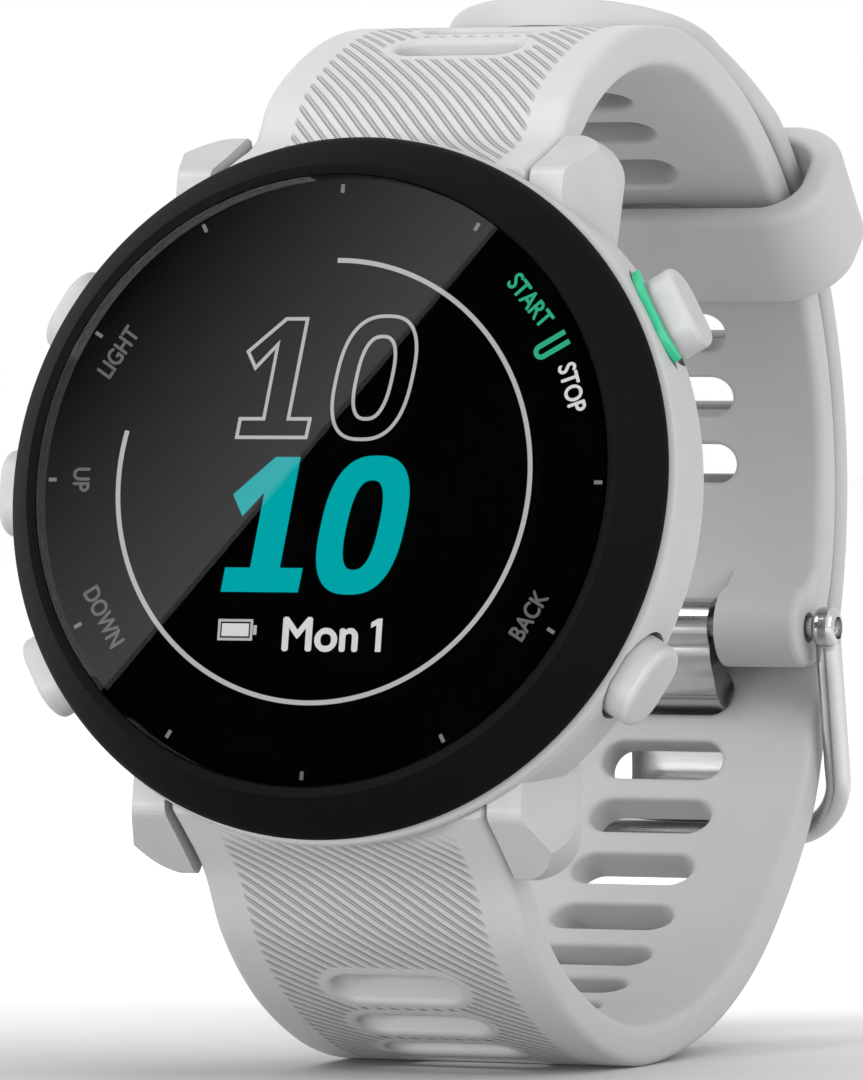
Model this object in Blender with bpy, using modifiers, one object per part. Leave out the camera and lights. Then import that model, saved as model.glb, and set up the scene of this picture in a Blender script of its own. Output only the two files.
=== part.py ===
"""GPS running watch with a buckled silicone strap, as separate pieces.

Frame: metres, +Z up, +X towards three o'clock. The dial faces -Y and leans back by LEAN.
The origin is the centre of the sensor window's flat rear face, which rests on the wrist.

Most head pieces are modelled in the head frame, held by the empty "head": x towards three
o'clock, y towards twelve o'clock and z out of the dial, with z = 0 on the wrist face.
Strap pieces are modelled from side outlines in the world's YZ plane.
"""
import math

import bmesh
import bpy
import numpy as np
from mathutils import Matrix, Vector

MM = 0.001

# ---------------------------------------------------------------- driving dimensions
LEAN = math.radians(10.0)
GAP = 0.3 * MM                    # clearance between pieces that touch

# head
CASE_RADIUS = 21.0 * MM
CASE_TOP = 8.05 * MM
CASE_BACK = 1.7 * MM
CAVITY_RADIUS = CASE_RADIUS - 5.3 * MM
BEZEL_RADIUS = CASE_RADIUS - 0.3 * MM
BEZEL_WINDOW_RADIUS = CASE_RADIUS - 3.05 * MM
LENS_FRONT = 11.6 * MM
LENS_THICKNESS = 1.0 * MM
LENS_LEDGE = 1.1 * MM             # lens back down to the bezel's ledge
LEDGE_RADIUS = CASE_RADIUS - 4.6 * MM
BACK_COVER_REAR = 1.2 * MM
BACK_COVER_THICKNESS = 1.2 * MM
BACK_BOSS_RADIUS = 9.5 * MM
SENSOR_RADIUS = 7.0 * MM
SENSOR_THICKNESS = 0.9 * MM
SENSOR_HOLE_RADIUS = 6.0 * MM
FLANGE_RADIUS = CAVITY_RADIUS - 3.9 * MM
FLANGE_THICKNESS = 1.0 * MM
GASKET_RADIUS = CAVITY_RADIUS - 0.9 * MM
GASKET_WIDTH = 0.6 * MM
GASKET_HEIGHT = 0.4 * MM
SCREW_CIRCLE = CAVITY_RADIUS - 2.6 * MM
SCREW_RADIUS = 0.6 * MM
SCREW_HEAD_RADIUS = 1.1 * MM
BATTERY_SIZE = (17.0 * MM, 13.0 * MM, 2.6 * MM)
BOARD_THICKNESS = 0.5 * MM
MOTOR_RADIUS = 3.0 * MM
CONTACT_RADIUS = 0.55 * MM
CONTACT_PITCH = 2.2 * MM
CONTACT_ROW = 1.2 * MM - FLANGE_RADIUS

# buttons
BUTTON_ANGLES = {"start": 30.0, "back": -30.0, "light": 150.0, "up": 180.0, "down": 210.0}
BUTTON_HALF_LENGTH = 2.6 * MM
BUTTON_HALF_WIDTH = 1.9 * MM
BUTTON_HEIGHT = 5.6 * MM          # of the button axis above the wrist face
BUTTON_PROUD = 1.4 * MM
START_PROUD = 1.95 * MM           # the start button stands out further
BUTTON_TRAVEL = 0.6 * MM
BUTTON_CAP_DEPTH = 2.2 * MM
STEM_RADIUS = 0.9 * MM
ACCENT_HALF_WIDTH = 1.6 * MM      # half width of the start cap, which leaves room for its accent
ACCENT_THICKNESS = 0.5 * MM
ACCENT_HEIGHT = 4.6 * MM
ACCENT_PROUD = 0.15 * MM
ACCENT_FROM = 0.9 * MM            # ends of the accent, above the button's middle

# lugs and spring bars
STRAP_WIDTH = 19.8 * MM
LUG_GAP = STRAP_WIDTH + 2 * GAP
LUG_WIDTH = 3.7 * MM
LUG_REACH = CASE_RADIUS + 1.05 * MM   # centre line of the head to the lug tips
LUG_SLANT = 1.6 * MM              # how far a lug's outer wall leans in towards the dial side
LUG_CORNER = 3.3 * MM             # round outer corner of a lug's tip, seen from the front
BAR_OUT = CASE_RADIUS - 1.8 * MM      # centre line of the head to a spring bar's axis
BAR_HEIGHT = 3.4 * MM
SCALLOP_OUT = CASE_RADIUS - 3.9 * MM
SCALLOP_TOP = 7.4 * MM
SPRING_BAR_RADIUS = 0.8 * MM
SPRING_PIN_RADIUS = 0.4 * MM
SPRING_PIN_REACH = 0.9 * MM
RELEASE_TRAVEL = 1.2 * MM
RELEASE_KNOB_AT = 6.6 * MM
RELEASE_KNOB_REACH = 2.3 * MM

# strap
LOOP_SCALE = LUG_REACH / (22.05 * MM)   # the closed loop grows with the case
STRAP_THICKNESS = 2.5 * MM
TAIL_THICKNESS = 1.8 * MM
TAIL_HALF_WIDTH = STRAP_WIDTH / 2 - 1.2 * MM
TAIL_OVERLAP = 45.0 * MM          # tail's length past the start of the short strap's slots
STRAP_EDGE = 0.45 * MM
STRAP_END_RADIUS = 1.75 * MM
LAYER_GAP = 0.4 * MM
SLOT_LENGTH = 8.0 * MM
SLOT_WIDTH = 2.7 * MM
SLOT_PITCH = 4.7 * MM
SHORT_SLOTS = 12
FIRST_SLOT_FROM_BAR = 10.4 * MM
LOWER_SLOTS = 12                  # between the tongue and the lugs
TAIL_SLOTS = 9                    # beyond the tongue
TAIL_FIRST_SLOT = 6.9 * MM        # tongue's slot to the first one of the tail

# buckle
BUCKLE_AXIS = (42.55 * MM * LOOP_SCALE, -7.8 * MM * LOOP_SCALE)     # Y, Z
KNUCKLE_HALF_HEIGHT = 2.5 * MM
BUCKLE_BAR_RADIUS = 0.65 * MM
BUCKLE_HOLE_RADIUS = 0.95 * MM
BUCKLE_INNER_HALF = STRAP_WIDTH / 2 + 0.4 * MM
BUCKLE_ARM = 1.5 * MM
BUCKLE_LENGTH = 13.8 * MM * LOOP_SCALE
BUCKLE_CORNER = 4.0 * MM
BUCKLE_EDGE = 0.35 * MM
BUCKLE_EAR_RADIUS = 1.8 * MM
CROSSBAR_HEIGHT = 1.8 * MM
CROSSBAR_FRONT = 1.5 * MM * LOOP_SCALE    # faces of the crossbar, outward from the bar's axis
CROSSBAR_BACK = 3.1 * MM * LOOP_SCALE
TONGUE_HALF_WIDTH = 3.7 * MM
TONGUE_ROOM = 0.7 * MM            # tongue's side to the notch it swings in
TONGUE_DROP = 4.9 * MM            # its slot below the bar's axis
TONGUE_THICKNESS = 2.1 * MM
TONGUE_EDGE = 0.55 * MM
KEEPER_FROM_BAR = 27.6 * MM
KEEPER_HEIGHT = 7.0 * MM
KEEPER_WALL = 1.6 * MM
KEEPER_SIDE = 2.0 * MM            # its wall beside the strap's edges
KEEPER_SLACK = 0.8 * MM           # about the two layers
KEEPER_SIDE_SLACK = 1.2 * MM
KEEPER_CORNER = 2.4 * MM

FACETS = 64
ACCENT_POINTS = 13

# ---------------------------------------------------------------- scene helpers


def clear_scene():
    for thing in list(bpy.data.objects):
        bpy.data.objects.remove(thing, do_unlink=True)


def new_collection(name):
    group = bpy.data.collections.new(name)
    bpy.context.scene.collection.children.link(group)
    return group


def material(name, colour, roughness, metallic=0.0):
    made = bpy.data.materials.new(name)
    made.use_nodes = True
    shader = made.node_tree.nodes["Principled BSDF"]
    shader.inputs["Base Color"].default_value = (*colour, 1.0)
    shader.inputs["Roughness"].default_value = roughness
    shader.inputs["Metallic"].default_value = metallic
    return made


clear_scene()
PARTS = new_collection("gps_running_watch")
CUTTERS = new_collection("cutters")

SILICONE = material("silicone", (0.62, 0.63, 0.63), 0.6)
POLYMER = material("polymer", (0.64, 0.65, 0.65), 0.5)
BLACK_POLYMER = material("black_polymer", (0.015, 0.015, 0.017), 0.4)
GREEN_POLYMER = material("green_polymer", (0.02, 0.38, 0.2), 0.45)
GLASS = material("glass", (0.02, 0.02, 0.02), 0.05)
DISPLAY = material("display", (0.01, 0.01, 0.012), 0.3)
STEEL = material("steel", (0.55, 0.54, 0.52), 0.25, 1.0)
GOLD = material("gold", (0.75, 0.55, 0.25), 0.3, 1.0)
RUBBER = material("rubber", (0.02, 0.02, 0.02), 0.7)
BOARD = material("board", (0.01, 0.12, 0.05), 0.5)
CELL = material("cell", (0.5, 0.5, 0.52), 0.35, 1.0)
LIGHT_GUIDE = material("light_guide", (0.7, 0.7, 0.72), 0.4)


def new_empty(name, matrix, parent=None):
    empty = bpy.data.objects.new(name, None)
    PARTS.objects.link(empty)
    empty.parent = parent
    empty.matrix_basis = matrix
    return empty


def keep(name, mesh, finish, parent=None, matrix=None):
    """Add a mesh to the watch as a named piece."""
    piece = bpy.data.objects.new(name, mesh)
    mesh.materials.clear()
    mesh.materials.append(finish)
    PARTS.objects.link(piece)
    piece.parent = parent
    piece.matrix_basis = matrix or Matrix.Identity(4)
    mesh.shade_smooth()
    mesh.set_sharp_from_angle(angle=math.radians(35))
    return piece


def keep_cutter(name, mesh, parent=None, matrix=None):
    cutter = bpy.data.objects.new(name, mesh)
    CUTTERS.objects.link(cutter)
    cutter.parent = parent
    cutter.matrix_basis = matrix or Matrix.Identity(4)
    cutter.hide_render = True
    cutter.display_type = "WIRE"
    return cutter


def boolean(piece, cutter, operation="DIFFERENCE"):
    step = piece.modifiers.new(operation.lower() + "_" + cutter.name, "BOOLEAN")
    step.operation = operation
    step.object = cutter
    step.solver = "EXACT"


def bevel(piece, width, segments=1, angle=50.0):
    step = piece.modifiers.new("edges", "BEVEL")
    step.width = width
    step.segments = segments
    step.limit_method = "ANGLE"
    step.angle_limit = math.radians(angle)


# ---------------------------------------------------------------- mesh makers


def mesh_from(builder, name):
    mesh = bpy.data.meshes.new(name)
    builder.to_mesh(mesh)
    builder.free()
    return mesh


def prism(name, outline, low, high, axes="XYZ"):
    """Extrude a closed outline of two-number points along a third axis.

    axes names where the outline's first and second numbers and the extrusion go.
    """
    builder = bmesh.new()
    order = ["XYZ".index(letter) for letter in axes]

    def place(first, second, third):
        spot = [0.0, 0.0, 0.0]
        for index, value in zip(order, (first, second, third)):
            spot[index] = value
        return builder.verts.new(spot)

    base = builder.faces.new([place(first, second, low) for first, second in outline])
    grown = bmesh.ops.extrude_face_region(builder, geom=[base])
    moved = [item for item in grown["geom"] if isinstance(item, bmesh.types.BMVert)]
    step = [0.0, 0.0, 0.0]
    step[order[2]] = high - low
    bmesh.ops.translate(builder, verts=moved, vec=step)
    bmesh.ops.recalc_face_normals(builder, faces=builder.faces)
    return mesh_from(builder, name)


def box(name, low, high):
    outline = [(low[0], low[1]), (high[0], low[1]), (high[0], high[1]), (low[0], high[1])]
    return prism(name, outline, low[2], high[2])


def circle(radius, count=FACETS, centre=(0.0, 0.0), start=0.0, turn=2 * math.pi):
    """Points round an arc. A full turn leaves its last point out."""
    full = abs(turn - 2 * math.pi) < 1e-9
    steps = count if full else count - 1
    return [(centre[0] + radius * math.cos(start + turn * i / steps),
             centre[1] + radius * math.sin(start + turn * i / steps)) for i in range(count)]


def cylinder(name, radius, low, high, axes="XYZ", centre=(0.0, 0.0), count=24):
    return prism(name, circle(radius, count, centre), low, high, axes)


def obround(half_length, half_width, corner_points=7):
    """Outline with two round ends, longest along its first number."""
    reach = half_length - half_width
    right = circle(half_width, corner_points, (reach, 0.0), -math.pi / 2, math.pi)
    left = circle(half_width, corner_points, (-reach, 0.0), math.pi / 2, math.pi)
    return right + left


def turned(name, profile, finish, parent, count=FACETS):
    """Turn a closed profile of (radius, height) points round the head's axis.

    The profile runs down its outer side and up its inner side.
    """
    mesh = bpy.data.meshes.new(name)
    corners = [(radius, 0.0, height) for radius, height in profile]
    last = len(corners) - 1
    solid_centre = profile[0][0] < 1e-9
    edges = [(i, i + 1) for i in range(last)]
    if not solid_centre:
        edges.append((last, 0))
    mesh.from_pydata(corners, edges, [])
    piece = keep(name, mesh, finish, parent)
    screw = piece.modifiers.new("turn", "SCREW")
    screw.axis = "Z"
    screw.steps = count
    screw.render_steps = count
    screw.use_merge_vertices = True
    screw.merge_threshold = 0.00001
    screw.use_smooth_shade = True
    return piece


def ring_profile(inner, outer, low, high):
    return [(outer, high), (outer, low), (inner, low), (inner, high)]


def disc_profile(radius, low, high):
    return [(0.0, high), (radius, high), (radius, low), (0.0, low)]


# ---------------------------------------------------------------- head


def head_matrix():
    return Matrix.Rotation(math.pi / 2 - LEAN, 4, "X")


HEAD = new_empty("head", head_matrix())


def head_to_side(out, height):
    """Point of the head's middle plane (towards twelve, out of the dial) as world (Y, Z)."""
    return (out * math.sin(LEAN) - height * math.cos(LEAN),
            out * math.cos(LEAN) + height * math.sin(LEAN))


def radial_matrix(angle):
    """Frame whose z points out at the angle, with y out of the dial."""
    turn = math.radians(angle)
    outward = Vector((math.cos(turn), math.sin(turn), 0.0))
    along = Vector((-math.sin(turn), math.cos(turn), 0.0))
    up = Vector((0.0, 0.0, 1.0))
    return Matrix((along, up, outward)).transposed().to_4x4()


POCKET_RADIUS = CAVITY_RADIUS + 0.2 * MM
COVER_FRONT = BACK_COVER_REAR + BACK_COVER_THICKNESS
FLANGE_REAR = COVER_FRONT + GAP
FLANGE_FRONT = FLANGE_REAR + FLANGE_THICKNESS
GROOVE_HALF = GASKET_WIDTH / 2 + GAP
GROOVE_FLOOR = FLANGE_REAR + GASKET_HEIGHT + GAP
LENS_BACK = LENS_FRONT - LENS_THICKNESS
CORNERS = ((1, 1), (-1, 1), (-1, -1), (1, -1))


def case_profile():
    side = CASE_RADIUS
    shoulder = 0.7 * MM
    belly = CASE_BACK + 2.2 * MM
    return [
        (side - shoulder, CASE_TOP),
        (side - 0.15 * MM, CASE_TOP - 0.3 * MM),
        (side, CASE_TOP - 1.0 * MM),
        (side, belly),
        (side - 0.4 * MM, CASE_BACK + 1.1 * MM),
        (side - 1.5 * MM, CASE_BACK + 0.25 * MM),
        (side - 2.6 * MM, CASE_BACK),
        (POCKET_RADIUS, CASE_BACK),
        (POCKET_RADIUS, FLANGE_REAR),
        (GASKET_RADIUS + GROOVE_HALF, FLANGE_REAR),
        (GASKET_RADIUS + GROOVE_HALF, GROOVE_FLOOR),
        (GASKET_RADIUS - GROOVE_HALF, GROOVE_FLOOR),
        (GASKET_RADIUS - GROOVE_HALF, FLANGE_REAR),
        (FLANGE_RADIUS, FLANGE_REAR),
        (FLANGE_RADIUS, FLANGE_FRONT),
        (CAVITY_RADIUS, FLANGE_FRONT),
        (CAVITY_RADIUS, CASE_TOP),
    ]


LUG_INSIDE = LUG_GAP / 2
LUG_TOP = SCALLOP_TOP - 0.15 * MM


def lug_outline():
    """Side outline of a lug: (towards twelve, out of the dial)."""
    root = SCALLOP_OUT - 2.0 * MM
    return [
        (root, LUG_TOP),
        (LUG_REACH - 3.0 * MM, LUG_TOP),
        (LUG_REACH - 1.75 * MM, LUG_TOP - 2.2 * MM),
        (LUG_REACH - 0.05 * MM, 2.3 * MM),
        (LUG_REACH - 0.1 * MM, 1.7 * MM),
        (LUG_REACH - 0.8 * MM, 1.2 * MM),
        (LUG_REACH - 2.5 * MM, 1.3 * MM),
        (root, CASE_BACK + 0.2 * MM),
    ]


def lug_plan(side_x, side_y):
    """Front outline of a lug, with its outer tip corner rounded: (X, towards twelve)."""
    near = LUG_INSIDE - MM
    far = LUG_INSIDE + LUG_WIDTH
    root = SCALLOP_OUT - 3.0 * MM
    corner = circle(LUG_CORNER, 7, (far - LUG_CORNER, LUG_REACH - LUG_CORNER), 0.0, math.pi / 2)
    outline = [(near, root), (far, root)] + corner + [(near, LUG_REACH)]
    return [(x * side_x, y * side_y) for x, y in outline]


def lug_wall(side_x):
    """Section of a lug that leans its outer wall in: (X, out of the dial)."""
    near = LUG_INSIDE - 2 * MM
    far = LUG_INSIDE + LUG_WIDTH
    section = [(near, -MM), (far, -MM), (far, CASE_BACK + MM), (far - LUG_SLANT, LUG_TOP),
               (far - LUG_SLANT - MM, CASE_TOP + MM), (near, CASE_TOP + MM)]
    return [(x * side_x, height) for x, height in section]


def button_hole(name, half_width, height, proud):
    """Pocket for a cap and a bore for its stem, as one cutter in the button's frame."""
    angle = BUTTON_ANGLES[name]
    frame = radial_matrix(angle)
    wide = BUTTON_HALF_LENGTH + GAP
    floor = CASE_RADIUS + proud - BUTTON_CAP_DEPTH - BUTTON_TRAVEL - GAP
    outline = obround(wide, half_width + GAP)
    if name == "start":
        outline = accent_outline(GAP + ACCENT_THICKNESS + GAP, half_width)
    outline = [(across, up + height) for across, up in outline]
    pocket = prism(name + "_pocket", outline, floor, CASE_RADIUS + 2 * MM)
    bore = cylinder(name + "_bore", STEM_RADIUS + GAP, CAVITY_RADIUS - 1.5 * MM, floor + MM,
                    centre=(0.0, height), count=16)
    return (keep_cutter(name + "_pocket", pocket, HEAD, frame),
            keep_cutter(name + "_bore", bore, HEAD, frame))


def accent_outline(margin, half_width):
    """Cap outline grown by margin beside the accent and by GAP everywhere else."""
    upper = obround(BUTTON_HALF_LENGTH + margin, half_width + margin, ACCENT_POINTS)
    lower = obround(BUTTON_HALF_LENGTH + GAP, half_width + GAP, ACCENT_POINTS)
    half = len(lower) // 2
    split = ACCENT_FROM - GAP
    return ([point for point in upper if point[1] > split]
            + [point for point in lower[half:] + lower[:half] if point[1] < split])


def button_place(name):
    """Half width, height and reach of a button's cap."""
    if name == "start":
        return ACCENT_HALF_WIDTH, ACCENT_HEIGHT, START_PROUD
    return BUTTON_HALF_WIDTH, BUTTON_HEIGHT, BUTTON_PROUD


def make_case():
    case = turned("case_shell", case_profile(), POLYMER, HEAD)
    for number, (side_x, side_y) in enumerate(CORNERS):
        outline = [(out * side_y, height) for out, height in lug_outline()]
        near = (LUG_INSIDE - 0.4 * MM) * side_x
        far = (LUG_INSIDE + LUG_WIDTH) * side_x
        mesh = prism("lug", outline, min(near, far), max(near, far), "YZX")
        lug = keep_cutter("lug_%d" % number, mesh, HEAD)
        bevel(lug, 0.5 * MM, 1, 60.0)
        mesh = prism("lug_plan", lug_plan(side_x, side_y), 0.0, CASE_TOP)
        boolean(lug, keep_cutter("lug_plan_%d" % number, mesh, HEAD), "INTERSECT")
        low_y, high_y = sorted((SCALLOP_OUT * 0.6 * side_y, (LUG_REACH + MM) * side_y))
        mesh = prism("lug_wall", lug_wall(side_x), low_y, high_y, "XZY")
        boolean(lug, keep_cutter("lug_wall_%d" % number, mesh, HEAD), "INTERSECT")
        boolean(case, lug, "UNION")
    for side in (1, -1):
        low_y, high_y = sorted((SCALLOP_OUT * side, (LUG_REACH + 3 * MM) * side))
        mesh = box("scallop", (-LUG_INSIDE, low_y, -MM), (LUG_INSIDE, high_y, SCALLOP_TOP))
        boolean(case, keep_cutter("scallop_%d" % side, mesh, HEAD))
        depth = LUG_INSIDE + SPRING_PIN_REACH + GAP + 0.2 * MM
        mesh = cylinder("bar_hole", SPRING_PIN_RADIUS + GAP, -depth, depth, "YZX",
                        (BAR_OUT * side, BAR_HEIGHT), 16)
        boolean(case, keep_cutter("bar_hole_%d" % side, mesh, HEAD))
    for name in BUTTON_ANGLES:
        for cutter in button_hole(name, *button_place(name)):
            boolean(case, cutter)
    for number, (side_x, side_y) in enumerate(CORNERS):
        spot = SCREW_CIRCLE / math.sqrt(2)
        mesh = cylinder("screw_hole", SCREW_RADIUS + GAP, FLANGE_REAR - MM, FLANGE_FRONT + MM,
                        centre=(spot * side_x, spot * side_y), count=12)
        boolean(case, keep_cutter("screw_hole_%d" % number, mesh, HEAD))


def make_front():
    ledge = LENS_BACK - LENS_LEDGE
    bottom = CASE_TOP + GAP
    rim = BEZEL_RADIUS
    turned("bezel", [
        (BEZEL_WINDOW_RADIUS + 0.4 * MM, LENS_FRONT - 0.05 * MM),
        (rim - 0.25 * MM, bottom + 1.05 * MM),
        (rim, bottom + 0.7 * MM),
        (rim, bottom + 0.3 * MM),
        (rim - 0.35 * MM, bottom),
        (LEDGE_RADIUS, bottom),
        (LEDGE_RADIUS, ledge),
        (BEZEL_WINDOW_RADIUS, ledge),
        (BEZEL_WINDOW_RADIUS, LENS_FRONT - 0.25 * MM),
    ], BLACK_POLYMER, HEAD)
    lens_radius = BEZEL_WINDOW_RADIUS - GAP
    turned("lens", [
        (0.0, LENS_FRONT),
        (lens_radius - 0.25 * MM, LENS_FRONT),
        (lens_radius, LENS_FRONT - 0.25 * MM),
        (lens_radius, LENS_BACK),
        (0.0, LENS_BACK),
    ], GLASS, HEAD)
    turned("lens_gasket", ring_profile(LEDGE_RADIUS + GAP, lens_radius, ledge + GAP,
                                       LENS_BACK - GAP), RUBBER, HEAD)
    panel_front = LENS_BACK - GAP
    panel_back = panel_front - 0.9 * MM
    turned("display_panel", disc_profile(LEDGE_RADIUS - GAP, panel_back, panel_front),
           DISPLAY, HEAD)
    guide_front = panel_back - GAP
    guide_back = guide_front - 0.5 * MM
    turned("backlight_panel", disc_profile(CAVITY_RADIUS - GAP, guide_back, guide_front),
           LIGHT_GUIDE, HEAD)
    return guide_back


def make_inside(top):
    antenna_front = top - GAP
    antenna_back = antenna_front - 0.45 * MM
    turned("gps_antenna", ring_profile(CAVITY_RADIUS - 1.6 * MM, CAVITY_RADIUS - GAP,
                                       antenna_back, antenna_front), GOLD, HEAD)
    board_front = antenna_back - GAP
    board_back = board_front - BOARD_THICKNESS
    turned("main_board", disc_profile(CAVITY_RADIUS - GAP, board_back, board_front), BOARD, HEAD)
    length, width, height = BATTERY_SIZE
    cell_front = board_back - GAP
    mesh = box("battery", (-length / 2, -width / 2, cell_front - height),
               (length / 2, width / 2, cell_front))
    bevel(keep("battery", mesh, CELL, HEAD), 0.3 * MM)
    motor_low = FLANGE_FRONT + GAP
    mesh = cylinder("vibration_motor", MOTOR_RADIUS, motor_low, board_back - GAP,
                    centre=(0.0, FLANGE_RADIUS - 1.3 * MM), count=32)
    keep("vibration_motor", mesh, CELL, HEAD)
    return board_back


def make_back():
    cover_radius = POCKET_RADIUS - GAP
    boss = BACK_COVER_REAR - 0.7 * MM
    seat = SENSOR_THICKNESS + GAP
    cover = turned("back_cover", [
        (cover_radius, COVER_FRONT),
        (cover_radius, BACK_COVER_REAR + 0.2 * MM),
        (cover_radius - 0.3 * MM, BACK_COVER_REAR),
        (BACK_BOSS_RADIUS + 0.8 * MM, BACK_COVER_REAR),
        (BACK_BOSS_RADIUS, boss),
        (SENSOR_RADIUS + GAP, boss),
        (SENSOR_RADIUS + GAP, seat),
        (SENSOR_HOLE_RADIUS, seat),
        (SENSOR_HOLE_RADIUS, COVER_FRONT),
    ], POLYMER, HEAD)
    turned("back_gasket", ring_profile(GASKET_RADIUS - GASKET_WIDTH / 2,
                                       GASKET_RADIUS + GASKET_WIDTH / 2, FLANGE_REAR,
                                       FLANGE_REAR + GASKET_HEIGHT), RUBBER, HEAD)
    turned("sensor_window", [
        (0.0, SENSOR_THICKNESS),
        (SENSOR_RADIUS, SENSOR_THICKNESS),
        (SENSOR_RADIUS, 0.25 * MM),
        (SENSOR_RADIUS - 0.35 * MM, 0.0),
        (0.0, 0.0),
    ], GLASS, HEAD)
    sensor_front = COVER_FRONT
    sensor_back = sensor_front - 0.4 * MM
    turned("sensor_board", disc_profile(SENSOR_HOLE_RADIUS - GAP, sensor_back, sensor_front),
           BOARD, HEAD, 32)
    for name, offset, size in (("led_left", -2.6 * MM, 1.3 * MM), ("led_right", 2.6 * MM, 1.3 * MM),
                               ("photodiode", 0.0, 2.2 * MM)):
        mesh = box(name, (offset - size / 2, -size / 2, SENSOR_THICKNESS + GAP),
                   (offset + size / 2, size / 2, sensor_back - GAP))
        keep(name, mesh, GOLD, HEAD)
    for number in range(4):
        spot = (number - 1.5) * CONTACT_PITCH
        mesh = cylinder("charge_contact", CONTACT_RADIUS, BACK_COVER_REAR - 0.1 * MM,
                        COVER_FRONT + 0.2 * MM, centre=(spot, CONTACT_ROW), count=16)
        keep("charge_contact_%d" % (number + 1), mesh, GOLD, HEAD)
        mesh = cylinder("contact_hole", CONTACT_RADIUS + GAP, 0.0, COVER_FRONT + MM,
                        centre=(spot, CONTACT_ROW), count=16)
        boolean(cover, keep_cutter("contact_hole_%d" % number, mesh, HEAD))
    head_low = BACK_COVER_REAR + 0.1 * MM
    head_high = head_low + 0.55 * MM
    for number, (side_x, side_y) in enumerate(CORNERS):
        spot = SCREW_CIRCLE / math.sqrt(2)
        place = Matrix.Translation((spot * side_x, spot * side_y, 0.0))
        screw = turned("back_screw_%d" % (number + 1), [
            (0.0, FLANGE_FRONT - GAP),
            (SCREW_RADIUS, FLANGE_FRONT - GAP),
            (SCREW_RADIUS, head_high),
            (SCREW_HEAD_RADIUS, head_high),
            (SCREW_HEAD_RADIUS, head_low),
            (0.0, head_low),
        ], STEEL, HEAD, 12)
        screw.matrix_basis = place
        mesh = cylinder("counterbore", SCREW_HEAD_RADIUS + GAP, 0.0, head_high + GAP, count=16)
        boolean(cover, keep_cutter("counterbore_%d" % number, mesh, HEAD, place))
        mesh = cylinder("cover_hole", SCREW_RADIUS + GAP, 0.0, COVER_FRONT + MM, count=12)
        boolean(cover, keep_cutter("cover_hole_%d" % number, mesh, HEAD, place))


def make_buttons(board_back):
    clip_out = CAVITY_RADIUS - GAP - 0.15 * MM
    clip_in = clip_out - 0.4 * MM
    stem_end = clip_in - 0.5 * MM
    switch_out = stem_end - BUTTON_TRAVEL - GAP
    for name, angle in BUTTON_ANGLES.items():
        half_width, height, proud = button_place(name)
        cap_top = CASE_RADIUS + proud
        cap_bottom = cap_top - BUTTON_CAP_DEPTH
        frame = radial_matrix(angle) @ Matrix.Translation((0.0, height, 0.0))
        outline = obround(BUTTON_HALF_LENGTH, half_width)
        cap = keep(name + "_button", prism(name + "_cap", outline, cap_bottom, cap_top),
                   POLYMER, HEAD, frame)
        bevel(cap, 0.35 * MM, 1, 60.0)
        mesh = cylinder("stem", STEM_RADIUS, stem_end, cap_bottom + 0.5 * MM, count=16)
        boolean(cap, keep_cutter(name + "_stem", mesh, HEAD, frame), "UNION")
        groove = prism_ring("clip_groove", 0.55 * MM, STEM_RADIUS + MM, clip_in - 0.2 * MM,
                            clip_out + 0.1 * MM)
        boolean(cap, keep_cutter(name + "_clip_groove", groove, HEAD, frame))
        clip = prism_ring(name + "_clip", 0.75 * MM, STEM_RADIUS + 0.3 * MM, clip_in, clip_out)
        keep(name + "_button_clip", clip, STEEL, HEAD, frame)
        size = 1.2 * MM
        mesh = box("switch", (-size, board_back - GAP - 1.8 * MM - height, switch_out - 1.2 * MM),
                   (size, board_back - GAP - height, switch_out))
        keep(name + "_switch", mesh, BLACK_POLYMER, HEAD, frame)


def prism_ring(name, inner, outer, low, high, count=16):
    """Flat ring with square edges, its hole along z."""
    builder = bmesh.new()
    loops = []
    for radius, level in ((outer, high), (outer, low), (inner, low), (inner, high)):
        loops.append([builder.verts.new((x, y, level)) for x, y in circle(radius, count)])
    for number, loop in enumerate(loops):
        after = loops[(number + 1) % 4]
        for i in range(count):
            j = (i + 1) % count
            builder.faces.new((loop[i], after[i], after[j], loop[j]))
    bmesh.ops.recalc_face_normals(builder, faces=builder.faces)
    return mesh_from(builder, name)


def make_accent():
    """Green band in the start button's pocket, on the dial side of the cap."""
    half_width, height, proud = button_place("start")
    room = GAP + ACCENT_THICKNESS
    outer, inner = [[p for p in obround(BUTTON_HALF_LENGTH + extra, half_width + extra,
                                        ACCENT_POINTS) if p[1] > ACCENT_FROM]
                    for extra in (room, GAP)]
    low = CASE_RADIUS + proud - BUTTON_CAP_DEPTH
    mesh = prism("start_accent", outer + inner[::-1], low, CASE_RADIUS + ACCENT_PROUD)
    frame = radial_matrix(BUTTON_ANGLES["start"]) @ Matrix.Translation((0.0, height, 0.0))
    keep("start_accent", mesh, GREEN_POLYMER, HEAD, frame)


# ---------------------------------------------------------------- strap paths


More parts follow.
